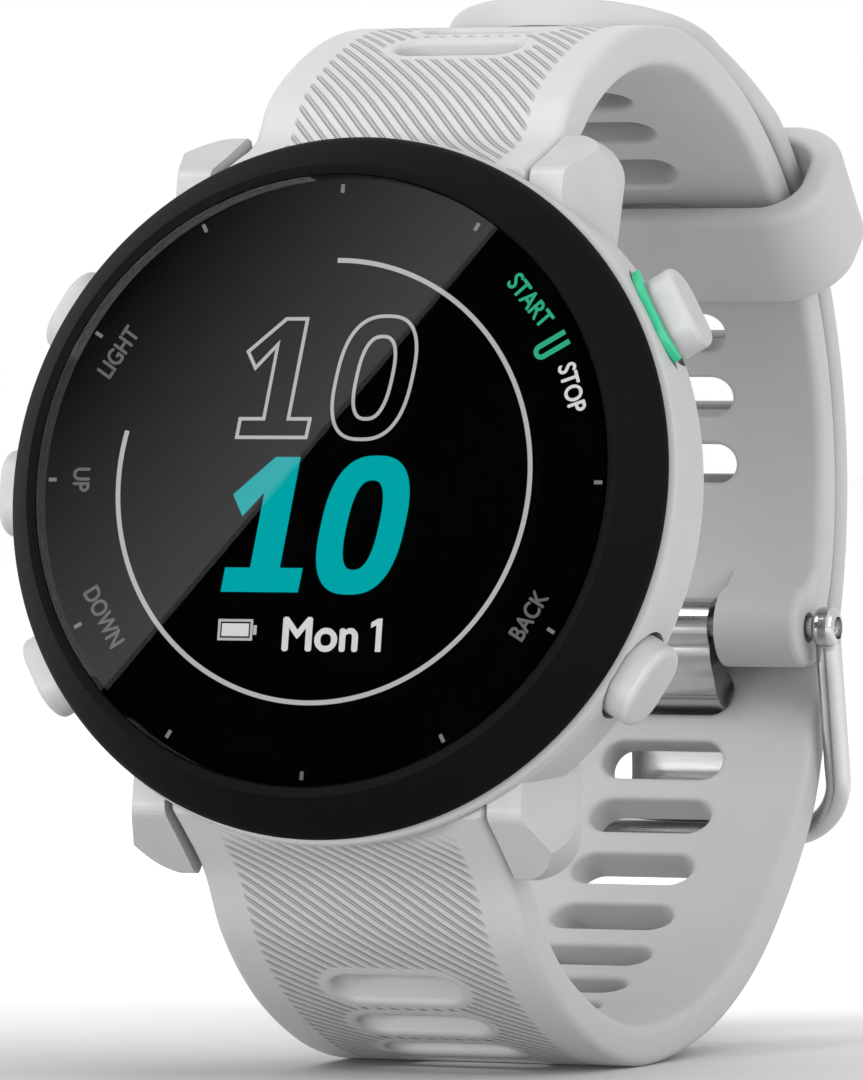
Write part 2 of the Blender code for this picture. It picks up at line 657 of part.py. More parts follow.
def smooth_path(points, step):
    """Centripetal curve through the points, read at even steps of length."""
    ends = [2 * points[0] - points[1]] + list(points) + [2 * points[-1] - points[-2]]
    fine = []
    for i in range(1, len(ends) - 2):
        before, start, stop, after = ends[i - 1:i + 3]
        knots = [0.0]
        for first, second in ((before, start), (start, stop), (stop, after)):
            knots.append(knots[-1] + np.linalg.norm(second - first) ** 0.5)
        for t in np.linspace(knots[1], knots[2], 24, endpoint=False):
            a1 = blend_points(before, start, knots[0], knots[1], t)
            a2 = blend_points(start, stop, knots[1], knots[2], t)
            a3 = blend_points(stop, after, knots[2], knots[3], t)
            b1 = blend_points(a1, a2, knots[0], knots[2], t)
            b2 = blend_points(a2, a3, knots[1], knots[3], t)
            fine.append(blend_points(b1, b2, knots[1], knots[2], t))
    fine = np.array(fine + [points[-1]])
    lengths = path_lengths(fine)
    count = int(round(lengths[-1] / step)) + 1
    even = np.linspace(0.0, lengths[-1], count)
    return np.column_stack([np.interp(even, lengths, fine[:, axis]) for axis in (0, 1)])


def blend_points(first, second, low, high, at):
    return ((high - at) * first + (at - low) * second) / (high - low)


def path_lengths(path):
    return np.concatenate([[0.0], np.cumsum(np.linalg.norm(np.diff(path, axis=0), axis=1))])


def path_normals(path):
    """Unit normals on the left of the path's direction."""
    run = np.gradient(path, axis=0)
    run /= np.linalg.norm(run, axis=1)[:, None]
    return np.column_stack([-run[:, 1], run[:, 0]])


def path_at(path, distance):
    """Point and left normal at a distance along the path."""
    lengths = path_lengths(path)
    normals = path_normals(path)
    spot = np.array([np.interp(distance, lengths, path[:, axis]) for axis in (0, 1)])
    normal = np.array([np.interp(distance, lengths, normals[:, axis]) for axis in (0, 1)])
    return spot, normal / np.linalg.norm(normal)


PATH_STEP = 1.7 * MM


def lug_edge(side):
    """Where a strap's outer face lies between the lugs, from the dial side to the lug tip."""
    spots = ((LUG_REACH - 2.95 * MM, SCALLOP_TOP - GAP - 0.1 * MM),
             (LUG_REACH - 1.9 * MM, LUG_TOP - 2.2 * MM),
             (LUG_REACH - 0.15 * MM, 2.2 * MM))
    return [head_to_side(out * side, height) for out, height in spots]


def in_metres(pairs, scale=1.0):
    return [(y * MM * scale, z * MM * scale) for y, z in pairs]


# Outer faces of the two straps, as (Y, Z) in millimetres, from a lug tip to the buckle.
SHORT_RUN = ((3.4, 24.3), (7.2, 26.6), (12.0, 28.3), (16.8, 29.0), (22.0, 28.8), (27.0, 27.4),
             (32.0, 25.2), (36.5, 22.2), (40.6, 18.3), (44.0, 13.8), (46.2, 8.8), (47.3, 3.6),
             (47.4, -1.2), (46.8, -4.6), (45.65, -7.6))
LONG_RUN = ((-3.4, -25.1), (0.2, -28.3), (4.4, -30.7), (9.2, -32.5), (14.7, -33.45),
            (20.2, -33.2), (25.2, -32.3), (30.2, -30.6), (34.7, -28.2), (38.7, -25.0),
            (41.7, -22.0), (43.9, -19.1), (45.2, -16.1), (46.1, -13.3), (47.2, -10.4),
            (48.4, -7.4))


def short_face():
    return smooth_path([np.array(p) for p in lug_edge(1) + in_metres(SHORT_RUN, LOOP_SCALE)], PATH_STEP)


def tail_face(face):
    """Outer face of the tail where it lies on the short strap, from the buckle to its tip."""
    lengths = path_lengths(face)
    first = lengths[-1] - FIRST_SLOT_FROM_BAR + 5.5 * MM
    offset = LAYER_GAP + TAIL_THICKNESS
    spots = []
    for distance in np.linspace(first, first - TAIL_OVERLAP, 12):
        spot, normal = path_at(face, distance)
        spots.append(spot + normal * offset)
    return spots


def long_face(short):
    points = [np.array(p) for p in lug_edge(-1) + in_metres(LONG_RUN, LOOP_SCALE)] + tail_face(short)
    return smooth_path(points, PATH_STEP)


def thickness_along(lengths, thin, taper_from):
    """Thicker by the lugs, then even, then thin past taper_from."""
    thick_end = 1.1 * MM
    fade = np.clip(1.0 - (lengths - 4.0 * MM) / (14.0 * MM), 0.0, 1.0)
    late = np.clip((lengths - taper_from) / (6.0 * MM), 0.0, 1.0)
    return STRAP_THICKNESS + thick_end * fade * fade + (thin - STRAP_THICKNESS) * late


def strap_outline(face, side, thin, taper_from, end_points):
    """Closed side outline: the outer face, the far end, the inner face and the lug end."""
    lengths = path_lengths(face)
    inward = path_normals(face) * (-1 if side > 0 else 1)
    inner = face + inward * thickness_along(lengths, thin, taper_from)[:, None]
    clear = [p for p, length in zip(inner, lengths) if length > 8.6 * MM]
    top_inside = np.array(head_to_side((SCALLOP_OUT + GAP) * side, SCALLOP_TOP - GAP - 0.1 * MM))
    low_inside = np.array(head_to_side((SCALLOP_OUT + GAP) * side, BAR_HEIGHT - 0.3 * MM))
    under = np.array(head_to_side((BAR_OUT - 0.9 * MM) * side, BAR_HEIGHT - STRAP_END_RADIUS))
    under_tip = np.array(head_to_side((BAR_OUT + 0.6 * MM) * side, BAR_HEIGHT - STRAP_END_RADIUS
                                      - 0.15 * MM))
    if end_points:
        kept_inner = [p for p in clear if np.linalg.norm(p - end_points[-1]) > 2.0 * MM
                      and p[1] > end_points[-1][1]]
    else:
        kept_inner = clear
    return list(face) + end_points + kept_inner[::-1] + [under_tip, under, low_inside, top_inside]


def slot_cutter(name, path, distances):
    """Round-ended slots across the strap at distances along its outer face."""
    builder = bmesh.new()
    outline = obround(SLOT_LENGTH / 2, SLOT_WIDTH / 2, 5)
    for distance in distances:
        spot, normal = path_at(path, distance)
        outward = Vector((0.0, normal[0], normal[1]))
        along = Vector((0.0, normal[1], -normal[0]))
        across = Vector((1.0, 0.0, 0.0))
        centre = Vector((0.0, spot[0], spot[1]))
        rings = []
        for reach in (-4.0 * MM, 4.0 * MM):
            rings.append([builder.verts.new(centre + outward * reach + across * a + along * b)
                          for a, b in outline])
        count = len(outline)
        builder.faces.new(rings[0])
        builder.faces.new(rings[1])
        for i in range(count):
            j = (i + 1) % count
            builder.faces.new((rings[0][i], rings[0][j], rings[1][j], rings[1][i]))
    bmesh.ops.recalc_face_normals(builder, faces=builder.faces)
    return keep_cutter(name, mesh_from(builder, name))


def side_cutter(name, outline, half):
    return keep_cutter(name, prism(name, outline, -half, half, "YZX"))


def release_slot(name, side):
    """Opening in a strap's underside for the spring bar's release knob."""
    half_room = SPRING_PIN_RADIUS + 0.35 * MM
    low = RELEASE_KNOB_AT - half_room - RELEASE_TRAVEL
    high = RELEASE_KNOB_AT + half_room
    start_y, stop_y = sorted((BAR_OUT * side - half_room, BAR_OUT * side + half_room))
    mesh = box(name, (low, start_y, -2 * MM), (high, stop_y, BAR_HEIGHT))
    return keep_cutter(name, mesh, HEAD)


def make_strap(name, outline, side, slots):
    half = STRAP_WIDTH / 2
    strap = keep(name, prism(name, outline, -half, half, "YZX"), SILICONE)
    bevel(strap, STRAP_EDGE, 1, 70.0)
    hole = cylinder("bar_tunnel", SPRING_BAR_RADIUS + GAP, -half - MM, half + MM, "YZX",
                    head_to_side(BAR_OUT * side, BAR_HEIGHT), 16)
    boolean(strap, keep_cutter(name + "_tunnel", hole))
    boolean(strap, release_slot(name + "_release_slot", side))
    boolean(strap, slots)
    return strap


def knuckle_points():
    """Round end of the short strap about the buckle bar, from the outer to the inner face."""
    centre = np.array(BUCKLE_AXIS)
    shift = np.array((0.6 * MM, 0.0))
    lower = circle(KNUCKLE_HALF_HEIGHT, 5, centre + shift, math.radians(-10), math.radians(-80))
    front = circle(KNUCKLE_HALF_HEIGHT, 8, centre, math.radians(-90), math.radians(-165))
    return [np.array(p) for p in lower + front]


def make_straps():
    short = short_face()
    long = long_face(short)
    short_length = path_lengths(short)[-1]
    short_slots = [short_length - FIRST_SLOT_FROM_BAR - SLOT_PITCH * i for i in range(SHORT_SLOTS)]
    upper = make_strap("upper_strap", strap_outline(short, 1, STRAP_THICKNESS * 1.1,
                                                    short_length - 12 * MM, knuckle_points()),
                       1, slot_cutter("short_slots", short, short_slots))
    tongue_at = tongue_distance(long)
    tail_from = tongue_at + TAIL_FIRST_SLOT
    long_slots = ([tongue_at - SLOT_PITCH * i for i in range(LOWER_SLOTS, -1, -1)]
                  + [tail_from + SLOT_PITCH * i for i in range(TAIL_SLOTS)])
    lower = make_strap("lower_strap", strap_outline(long, -1, TAIL_THICKNESS,
                                                    tongue_at - 4 * MM, []),
                       -1, slot_cutter("long_slots", long, long_slots))
    boolean(lower, tail_cutter(long))
    half = STRAP_WIDTH / 2
    hole = cylinder("knuckle_tunnel", BUCKLE_HOLE_RADIUS, -half - MM, half + MM, "YZX",
                    BUCKLE_AXIS, 16)
    boolean(upper, keep_cutter("knuckle_tunnel", hole))
    bar_y, bar_z = BUCKLE_AXIS
    notch = box("tongue_notch", (-TONGUE_HALF_WIDTH - TONGUE_ROOM, bar_y - 6 * MM, bar_z - 6 * MM),
                (TONGUE_HALF_WIDTH + TONGUE_ROOM, bar_y + 7 * MM, bar_z + 3.9 * MM))
    boolean(upper, keep_cutter("tongue_notch", notch))
    return short, long


def tongue_distance(path):
    """Distance along the long strap's outer face to the slot that holds the tongue."""
    lengths = path_lengths(path)
    level = BUCKLE_AXIS[1] - TONGUE_DROP
    near = [i for i in range(1, len(path)) if path[i - 1][1] < level <= path[i][1]
            and path[i][0] > BUCKLE_AXIS[0]]
    i = near[0]
    share = (level - path[i - 1][1]) / (path[i][1] - path[i - 1][1])
    return lengths[i - 1] + share * (lengths[i] - lengths[i - 1])


def tail_cutter(path):
    """Leaves the tail with a round tip, seen from above."""
    tip = path[-1][0]
    centre = tip + TAIL_HALF_WIDTH
    full = STRAP_WIDTH / 2
    wide = centre + 6.0 * MM
    arc = circle(TAIL_HALF_WIDTH, 13, (0.0, centre), 0.0, -math.pi)
    outline = ([(full + 3 * MM, wide), (full, wide)] + arc + [(-full, wide), (-full - 3 * MM, wide)]
               + [(-full - 3 * MM, tip - 4 * MM), (full + 3 * MM, tip - 4 * MM)])
    low = path[-1][1] - 10 * MM
    spot, _ = path_at(path, path_lengths(path)[-1])
    mesh = prism("tail_round", outline, low + 3 * MM, spot[1] + 4 * MM)
    return keep_cutter("tail_round", mesh)


# ---------------------------------------------------------------- buckle and keeper


def thick_line(points, halves):
    """Outline of a line with a half thickness at each point and square ends."""
    path = np.array(points)
    offset = path_normals(path) * np.array(halves)[:, None]
    return list(path + offset) + list(path - offset)[::-1]


def make_buckle():
    centre = np.array(BUCKLE_AXIS)
    outer_half = BUCKLE_INNER_HALF + BUCKLE_ARM
    front = in_metres(((-1.35, -1.6), (-0.4, -4.3), (0.9, -7.8), (1.5, -10.5)), LOOP_SCALE)
    back = in_metres(((2.6, -10.4), (2.55, -7.8), (2.2, -4.0), (1.75, -1.0)), LOOP_SCALE)
    foot = [(CROSSBAR_FRONT, -BUCKLE_LENGTH), (CROSSBAR_BACK, -BUCKLE_LENGTH)]
    ear = circle(BUCKLE_EAR_RADIUS, 9, (0.0, 0.0), math.radians(-10), math.radians(215))
    side = [centre + np.array(p) for p in front + foot + back + ear]
    frame = keep("buckle_frame", prism("buckle_frame", side, -outer_half, outer_half, "YZX"), STEEL)
    plan = buckle_plan(outer_half)
    mesh = prism("buckle_plan", plan, centre[0] - 6 * MM, centre[0] + 8 * MM, "XZY")
    boolean(frame, keep_cutter("buckle_plan", mesh), "INTERSECT")
    mesh = cylinder("ear_holes", BUCKLE_HOLE_RADIUS, -outer_half - MM, outer_half + MM, "YZX",
                    BUCKLE_AXIS, 16)
    boolean(frame, keep_cutter("ear_holes", mesh))
    bevel(frame, BUCKLE_EDGE, 1, 50.0)
    bar = cylinder("buckle_bar", BUCKLE_BAR_RADIUS, -outer_half + 0.4 * MM, outer_half - 0.4 * MM,
                   "YZX", BUCKLE_AXIS, 20)
    keep("buckle_bar", bar, STEEL)


def buckle_plan(outer_half):
    """U seen square on: (X, Z)."""
    top = BUCKLE_AXIS[1] + BUCKLE_EAR_RADIUS + MM
    bottom = BUCKLE_AXIS[1] - BUCKLE_LENGTH
    inner = BUCKLE_INNER_HALF
    sill = bottom + CROSSBAR_HEIGHT
    outer_corner = BUCKLE_CORNER
    inner_corner = BUCKLE_CORNER - BUCKLE_ARM
    quarter = math.pi / 2
    outside = (circle(outer_corner, 6, (-outer_half + outer_corner, bottom + outer_corner),
                      math.pi, quarter)
               + circle(outer_corner, 6, (outer_half - outer_corner, bottom + outer_corner),
                        -quarter, quarter))
    inside = (circle(inner_corner, 6, (inner - inner_corner, sill + inner_corner), 0.0, -quarter)
              + circle(inner_corner, 6, (-inner + inner_corner, sill + inner_corner),
                       -quarter, -quarter))
    return ([(-outer_half, top)] + outside + [(outer_half, top), (inner, top)]
            + inside + [(-inner, top)])


def make_tongue(long):
    """Tongue from its ring through the slot, then down outside the strap past the crossbar."""
    slot, inward = path_at(long, tongue_distance(long))
    outward = -inward
    onward = np.array((outward[1], -outward[0]))
    in_slot = TONGUE_THICKNESS / 2
    outside = TONGUE_THICKNESS * 0.31
    bend = slot + outward * 1.45 * MM + onward * 1.3 * MM
    rest = np.array(BUCKLE_AXIS) + np.array((CROSSBAR_BACK + GAP + outside, -BUCKLE_LENGTH))
    axis = np.array(BUCKLE_AXIS)
    elbow = slot - outward * (STRAP_THICKNESS + 0.6 * MM)
    run = [
        (axis, in_slot),
        (axis * 0.55 + elbow * 0.45 - outward * 0.75 * MM, in_slot),
        (elbow - outward * 0.75 * MM - onward * 0.75 * MM, in_slot),
        (elbow, in_slot),
        (slot + outward * 0.2 * MM, in_slot),
        (slot + outward * 1.15 * MM + onward * 0.35 * MM, in_slot * 0.85),
        (bend, in_slot * 0.7),
        (bend * 0.6 + rest * 0.4 + outward * 0.35 * MM, outside),
        (rest + np.array((0.2 * MM, 2.0 * MM)), outside),
        (rest + np.array((0.1 * MM, -0.6 * MM)), outside * 0.7),
    ]
    body = thick_line([point for point, _ in run], [half for _, half in run])
    half = TONGUE_HALF_WIDTH
    tongue = keep("tongue", prism("tongue", body, -half, half, "YZX"), STEEL)
    bevel(tongue, TONGUE_EDGE, 2, 70.0)
    ring = cylinder("tongue_ring", BUCKLE_EAR_RADIUS, -half, half, "YZX", BUCKLE_AXIS, 24)
    boolean(tongue, keep_cutter("tongue_ring", ring), "UNION")
    hole = cylinder("tongue_hole", BUCKLE_HOLE_RADIUS, -half - MM, half + MM, "YZX",
                    BUCKLE_AXIS, 16)
    boolean(tongue, keep_cutter("tongue_hole", hole))


def keeper_place(short):
    """Middle of the two layers at the keeper, and the outward normal there."""
    length = path_lengths(short)[-1]
    spot, normal = path_at(short, length - KEEPER_FROM_BAR)
    middle = spot + normal * (LAYER_GAP + TAIL_THICKNESS - STRAP_THICKNESS) / 2
    return middle, normal


def rounded_rectangle(half_x, half_y, corner, points=5):
    outline = []
    for side_x, side_y, start in ((1, -1, -90), (1, 1, 0), (-1, 1, 90), (-1, -1, 180)):
        middle = ((half_x - corner) * side_x, (half_y - corner) * side_y)
        outline += circle(corner, points, middle, math.radians(start), math.pi / 2)
    return outline


def make_keeper(short):
    middle, normal = keeper_place(short)
    half_x = STRAP_WIDTH / 2 + KEEPER_SIDE_SLACK
    half_y = (STRAP_THICKNESS + LAYER_GAP + TAIL_THICKNESS) / 2 + KEEPER_SLACK
    across = Vector((1.0, 0.0, 0.0))
    outward = Vector((0.0, normal[0], normal[1]))
    up = across.cross(outward)
    place = Matrix((across, outward, up)).transposed().to_4x4()
    place.translation = Vector((0.0, middle[0], middle[1]))
    outer = prism("keeper", rounded_rectangle(half_x + KEEPER_SIDE, half_y + KEEPER_WALL,
                                              KEEPER_CORNER + KEEPER_WALL),
                  -KEEPER_HEIGHT / 2, KEEPER_HEIGHT / 2)
    keeper = keep("keeper", outer, SILICONE, None, place)
    bevel(keeper, 0.5 * MM, 1, 60.0)
    inner = prism("keeper_inside", rounded_rectangle(half_x, half_y, KEEPER_CORNER),
                  -KEEPER_HEIGHT, KEEPER_HEIGHT)
    boolean(keeper, keep_cutter("keeper_inside", inner, None, place))


def make_spring_bars():
    bar_half = LUG_INSIDE - GAP
    pin_end = LUG_INSIDE + SPRING_PIN_REACH
    for name, side in (("upper", 1), ("lower", -1)):
        centre = (BAR_OUT * side, BAR_HEIGHT)
        mouth = RELEASE_KNOB_AT - RELEASE_TRAVEL - SPRING_PIN_RADIUS - 0.6 * MM
        bar = keep(name + "_spring_bar",
                   cylinder("spring_bar", SPRING_BAR_RADIUS, -bar_half, mouth, "YZX", centre, 16),
                   STEEL, HEAD)
        mesh = cylinder("fixed_pin", SPRING_PIN_RADIUS, -pin_end, -bar_half + MM, "YZX", centre, 12)
        boolean(bar, keep_cutter(name + "_fixed_pin", mesh, HEAD), "UNION")
        pin_start = mouth + GAP + RELEASE_TRAVEL
        pin = keep(name + "_release_pin",
                   cylinder("release_pin", SPRING_PIN_RADIUS, pin_start, pin_end, "YZX",
                            centre, 12), STEEL, HEAD)
        mesh = cylinder("knob", SPRING_PIN_RADIUS * 0.85, BAR_HEIGHT - RELEASE_KNOB_REACH,
                        BAR_HEIGHT, "XYZ", (RELEASE_KNOB_AT, BAR_OUT * side), 10)
        boolean(pin, keep_cutter(name + "_knob", mesh, HEAD), "UNION")


make_case()
make_buttons(make_inside(make_front()))
make_accent()
make_back()
SHORT_PATH, LONG_PATH = make_straps()
make_keeper(SHORT_PATH)
make_buckle()
make_tongue(LONG_PATH)
make_spring_bars()
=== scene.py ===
"""Looks of the running watch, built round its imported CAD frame.

Lengths are in millimetres inside this script and turned into metres when a mesh is made.
Head pieces are made in the head's own axes: x towards three o'clock, y towards twelve and
z out of the dial, with z = 0 on the wrist face.
"""
import math

import bmesh
import bpy
import numpy as np
from mathutils import Matrix, Vector


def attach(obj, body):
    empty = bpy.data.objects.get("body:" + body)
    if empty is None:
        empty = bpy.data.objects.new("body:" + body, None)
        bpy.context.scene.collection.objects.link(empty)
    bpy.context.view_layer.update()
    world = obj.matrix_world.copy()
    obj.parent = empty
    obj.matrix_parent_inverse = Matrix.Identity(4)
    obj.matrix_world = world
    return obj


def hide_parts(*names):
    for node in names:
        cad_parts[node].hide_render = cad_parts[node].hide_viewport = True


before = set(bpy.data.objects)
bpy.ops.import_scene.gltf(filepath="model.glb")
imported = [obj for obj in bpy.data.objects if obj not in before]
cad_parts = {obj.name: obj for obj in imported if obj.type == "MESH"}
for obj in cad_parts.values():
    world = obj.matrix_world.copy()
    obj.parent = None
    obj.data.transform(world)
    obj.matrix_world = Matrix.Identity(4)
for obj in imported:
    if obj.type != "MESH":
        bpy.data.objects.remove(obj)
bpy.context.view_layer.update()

MM = 0.001
LEAN = math.radians(10.0)
HEAD = Matrix.Rotation(math.pi / 2 - LEAN, 4, "X")


# ------------------------------------------------------------------ materials


class Look:
    """A node material with a Principled shader and small helpers for adding nodes."""

    def __init__(self, name, colour, roughness, metallic=0.0):
        self.made = bpy.data.materials.new(name)
        self.made.use_nodes = True
        self.tree = self.made.node_tree
        self.shader = self.tree.nodes["Principled BSDF"]
        self.set("Base Color", (*colour, 1.0))
        self.set("Roughness", roughness)
        self.set("Metallic", metallic)

    def set(self, socket, value):
        self.shader.inputs[socket].default_value = value

    def node(self, kind, **settings):
        node = self.tree.nodes.new("ShaderNode" + kind)
        for key, value in settings.items():
            setattr(node, key, value)
        return node

    def link(self, source, target):
        self.tree.links.new(source, target)

    def maths(self, operation, first, second=0.5, third=0.5):
        node = self.node("Math", operation=operation)
        for socket, value in zip(node.inputs, (first, second, third)):
            if isinstance(value, (int, float)):
                socket.default_value = value
            else:
                self.link(value, socket)
        return node.outputs[0]

    def position(self):
        return self.node("TexCoord").outputs["Object"]

    def noise(self, scale_mm, detail=3.0, stretch=None, rough=0.5):
        """Noise whose features are about scale_mm across, in the object's own space."""
        mapping = self.node("Mapping")
        self.link(self.position(), mapping.inputs["Vector"])
        size = 1.0 / (scale_mm * MM)
        scale = stretch or (1.0, 1.0, 1.0)
        mapping.inputs["Scale"].default_value = tuple(size * s for s in scale)
        node = self.node("TexNoise")
        node.inputs["Scale"].default_value = 1.0
        node.inputs["Detail"].default_value = detail
        node.inputs["Roughness"].default_value = rough
        self.link(mapping.outputs[0], node.inputs["Vector"])
        return node.outputs["Fac"]

    def ramp(self, value, low, high, start=0.0, stop=1.0):
        node = self.node("MapRange")
        node.clamp = True
        self.link(value, node.inputs["Value"])
        for socket, number in (("From Min", start), ("From Max", stop),
                               ("To Min", low), ("To Max", high)):
            node.inputs[socket].default_value = number
        return node.outputs[0]

    def mix(self, share, first, second):
        node = self.node("Mix", data_type="RGBA")
        for socket, value in ((node.inputs[0], share), (node.inputs[6], first),
                              (node.inputs[7], second)):
            if isinstance(value, bpy.types.NodeSocket):
                self.link(value, socket)
            elif isinstance(value, tuple):
                socket.default_value = (*value, 1.0)
            else:
                socket.default_value = value
        return node.outputs[2]

    def bump(self, height, distance_mm, strength=1.0, after=None):
        node = self.node("Bump")
        node.inputs["Distance"].default_value = distance_mm * MM
        node.inputs["Strength"].default_value = strength
        self.link(height, node.inputs["Height"])
        if after is not None:
            self.link(after, node.inputs["Normal"])
        self.link(node.outputs[0], self.shader.inputs["Normal"])
        return node.outputs[0]

    def colour(self, socket):
        self.link(socket, self.shader.inputs["Base Color"])

    def roughness(self, socket):
        self.link(socket, self.shader.inputs["Roughness"])


def speckled(name, colour, roughness, grain_mm, depth_mm, metallic=0.0, shade=0.06,
             specular=0.5, rough_swing=0.08):
    """Moulded or cast surface with a fine grain and faint broad variation."""
    look = Look(name, colour, roughness, metallic)
    look.set("Specular IOR Level", specular)
    grain = look.noise(grain_mm, 4.0)
    broad = look.noise(grain_mm * 30, 2.0)
    dark = tuple(c * (1 - shade) for c in colour)
    look.colour(look.mix(look.ramp(broad, 0.0, 1.0, 0.3, 0.7), colour, dark))
    look.roughness(look.ramp(grain, roughness - rough_swing, roughness + rough_swing, 0.3, 0.7))
    look.bump(grain, depth_mm)
    return look


def silicone(name, grooved):
    colour = (0.355, 0.356, 0.358)
    look = Look(name, colour, 0.55)
    look.set("Specular IOR Level", 0.4)
    look.set("Sheen Weight", 0.15)
    look.set("Sheen Roughness", 0.5)
    grain = look.noise(0.12, 4.0)
    broad = look.noise(6.0, 2.0)
    base = look.mix(look.ramp(broad, 0.0, 1.0, 0.3, 0.7), colour, tuple(c * 0.96 for c in colour))
    look.roughness(look.ramp(grain, 0.5, 0.62, 0.3, 0.7))
    fine = look.bump(grain, 0.006)
    if grooved:
        mask = look.node("Attribute", attribute_name="groove").outputs["Fac"]
        slant = look.node("Attribute", attribute_name="slant").outputs["Fac"]
        phase = look.maths("MULTIPLY", slant, 2 * math.pi)
        wave = look.maths("SINE", phase)
        ridge = look.ramp(wave, 0.0, 1.0, -0.85, -0.05)
        height = look.maths("MULTIPLY", look.maths("SUBTRACT", ridge, 1.0), mask)
        look.bump(height, 0.2, 1.0, fine)
        # Painted shade: the grooves' colour is darkened, down to about a third of the base,
        # standing in for the shadow inside them.
        dark = look.maths("MULTIPLY", look.maths("MULTIPLY", height, -1.0), 0.45)
        base = look.mix(dark, base, tuple(c * 0.35 for c in colour))
    look.colour(base)
    return look


def brushed(name, colour, roughness, along):
    """Metal with fine scratches along one of its own axes."""
    look = Look(name, colour, roughness, 1.0)
    stretch = [1.0, 1.0, 1.0]
    stretch["XYZ".index(along)] = 0.04
    lines = look.noise(0.1, 4.0, tuple(stretch))
    smudge = look.noise(3.0, 3.0)
    look.roughness(look.ramp(lines, roughness - 0.06, roughness + 0.08, 0.25, 0.75))
    look.colour(look.mix(look.ramp(smudge, 0.0, 1.0, 0.3, 0.7), colour,
                         tuple(c * 0.93 for c in colour)))
    look.bump(lines, 0.0015)
    return look


def glowing(name, colour, strength):
    """Ink that glows with painted light in place of the lamps' light that the glass would hold
    back, with a fine dot grain.
    """
    look = Look(name, (0.0, 0.0, 0.0), 0.6)
    look.set("Specular IOR Level", 0.0)
    grain = look.noise(0.16, 2.0)
    look.set("Emission Strength", strength)
    look.link(look.mix(look.ramp(grain, 0.0, 1.0, 0.35, 0.65), colour,
                       tuple(c * 0.93 for c in colour)), look.shader.inputs["Emission Color"])
    return look


def make_glass(name):
    look = Look(name, (1.0, 1.0, 1.0), 0.0)
    look.set("Transmission Weight", 1.0)
    look.set("IOR", 1.45)
    smear = look.noise(9.0, 2.0)
    look.roughness(look.ramp(smear, 0.0, 0.012, 0.4, 0.8))
    return look


LOOKS = {
    "strap": silicone("strap_silicone", True),
    "smooth": silicone("smooth_silicone", False),
    "polymer": speckled("case_polymer", (0.335, 0.336, 0.338), 0.45, 0.1, 0.006),
    "bezel": speckled("bezel_black", (0.003, 0.003, 0.0032), 0.55, 0.12, 0.005, specular=0.03),
    "dial": speckled("dial_black", (0.001, 0.001, 0.001), 0.6, 0.2, 0.002, specular=0.0),
    "green": speckled("accent_green", (0.012, 0.34, 0.17), 0.4, 0.1, 0.005),
    "steel": brushed("buckle_steel", (0.55, 0.545, 0.54), 0.17, "X"),
    "pin_steel": brushed("pin_steel", (0.62, 0.61, 0.6), 0.25, "X"),
    "gold": brushed("contact_gold", (0.8, 0.6, 0.3), 0.25, "Z"),
    "rubber": speckled("gasket_rubber", (0.02, 0.02, 0.02), 0.7, 0.08, 0.01),
    "board": speckled("board_mask", (0.01, 0.11, 0.05), 0.45, 0.5, 0.01),
    "can": brushed("cell_can", (0.5, 0.5, 0.52), 0.35, "X"),
    "guide": speckled("light_guide", (0.7, 0.7, 0.72), 0.4, 0.3, 0.004),
    "sensor": speckled("sensor_window_black", (0.01, 0.01, 0.012), 0.08, 0.3, 0.001),
    "glass": make_glass("lens_glass"),
    # The dial's inks glow: painted light standing in for lamp light falling on the display.
    "grey_ink": glowing("grey_ink", (0.48, 0.48, 0.48), 1.0),
    "dim_ink": glowing("dim_ink", (0.13, 0.13, 0.135), 1.0),
    "tick_ink": glowing("tick_ink", (0.2, 0.2, 0.2), 1.0),
    "white_ink": glowing("white_ink", (0.7, 0.7, 0.7), 1.0),
    "teal_ink": glowing("teal_ink", (0.0, 0.4, 0.42), 1.0),
    "green_ink": glowing("green_ink", (0.03, 0.42, 0.22), 1.0),
}


# ------------------------------------------------------------------ object helpers


def added(name, data):
    """New object in the scene."""
    piece = bpy.data.objects.new(name, data)
    bpy.context.scene.collection.objects.link(piece)
    return piece


def evaluated_mesh(piece):
    bpy.context.view_layer.update()
    graph = bpy.context.evaluated_depsgraph_get()
    graph.update()
    return bpy.data.meshes.new_from_object(piece.evaluated_get(graph))


def flattened(name, curve):
    """Mesh of a curve or of letters."""
    holder = added(name, curve)
    mesh = evaluated_mesh(holder)
    bpy.data.objects.remove(holder, do_unlink=True)
    return mesh


def unit(rows):
    """Vectors scaled to length one."""
    return rows / np.linalg.norm(rows, axis=-1, keepdims=True)


def show(name, mesh, look, body, place=None, smooth=40.0, replaces=()):
    """Add a finished mesh as a visible piece that rides on a CAD body."""
    piece = added(name, mesh)
    mesh.materials.clear()
    mesh.materials.append(LOOKS[look].made)
    piece.matrix_world = place or Matrix.Identity(4)
    mesh.shade_smooth()
    mesh.set_sharp_from_angle(angle=math.radians(smooth))
    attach(piece, body)
    if replaces:
        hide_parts(*replaces)
    return piece


def mesh_of(builder, name):
    bmesh.ops.recalc_face_normals(builder, faces=builder.faces)
    mesh = bpy.data.meshes.new(name)
    builder.to_mesh(mesh)
    builder.free()
    return mesh


def extrude(name, outline, low, high, axes="XYZ"):
    """Prism of a closed outline, in millimetres, extruded along the third named axis."""
    builder = bmesh.new()
    order = ["XYZ".index(letter) for letter in axes]

    def place(first, second, third):
        spot = [0.0, 0.0, 0.0]
        for index, value in zip(order, (first, second, third)):
            spot[index] = value * MM
        return builder.verts.new(spot)

    base = builder.faces.new([place(a, b, low) for a, b in outline])
    grown = bmesh.ops.extrude_face_region(builder, geom=[base])
    step = [0.0, 0.0, 0.0]
    step[order[2]] = (high - low) * MM
    moved = [item for item in grown["geom"] if isinstance(item, bmesh.types.BMVert)]
    bmesh.ops.translate(builder, verts=moved, vec=step)
    return mesh_of(builder, name)


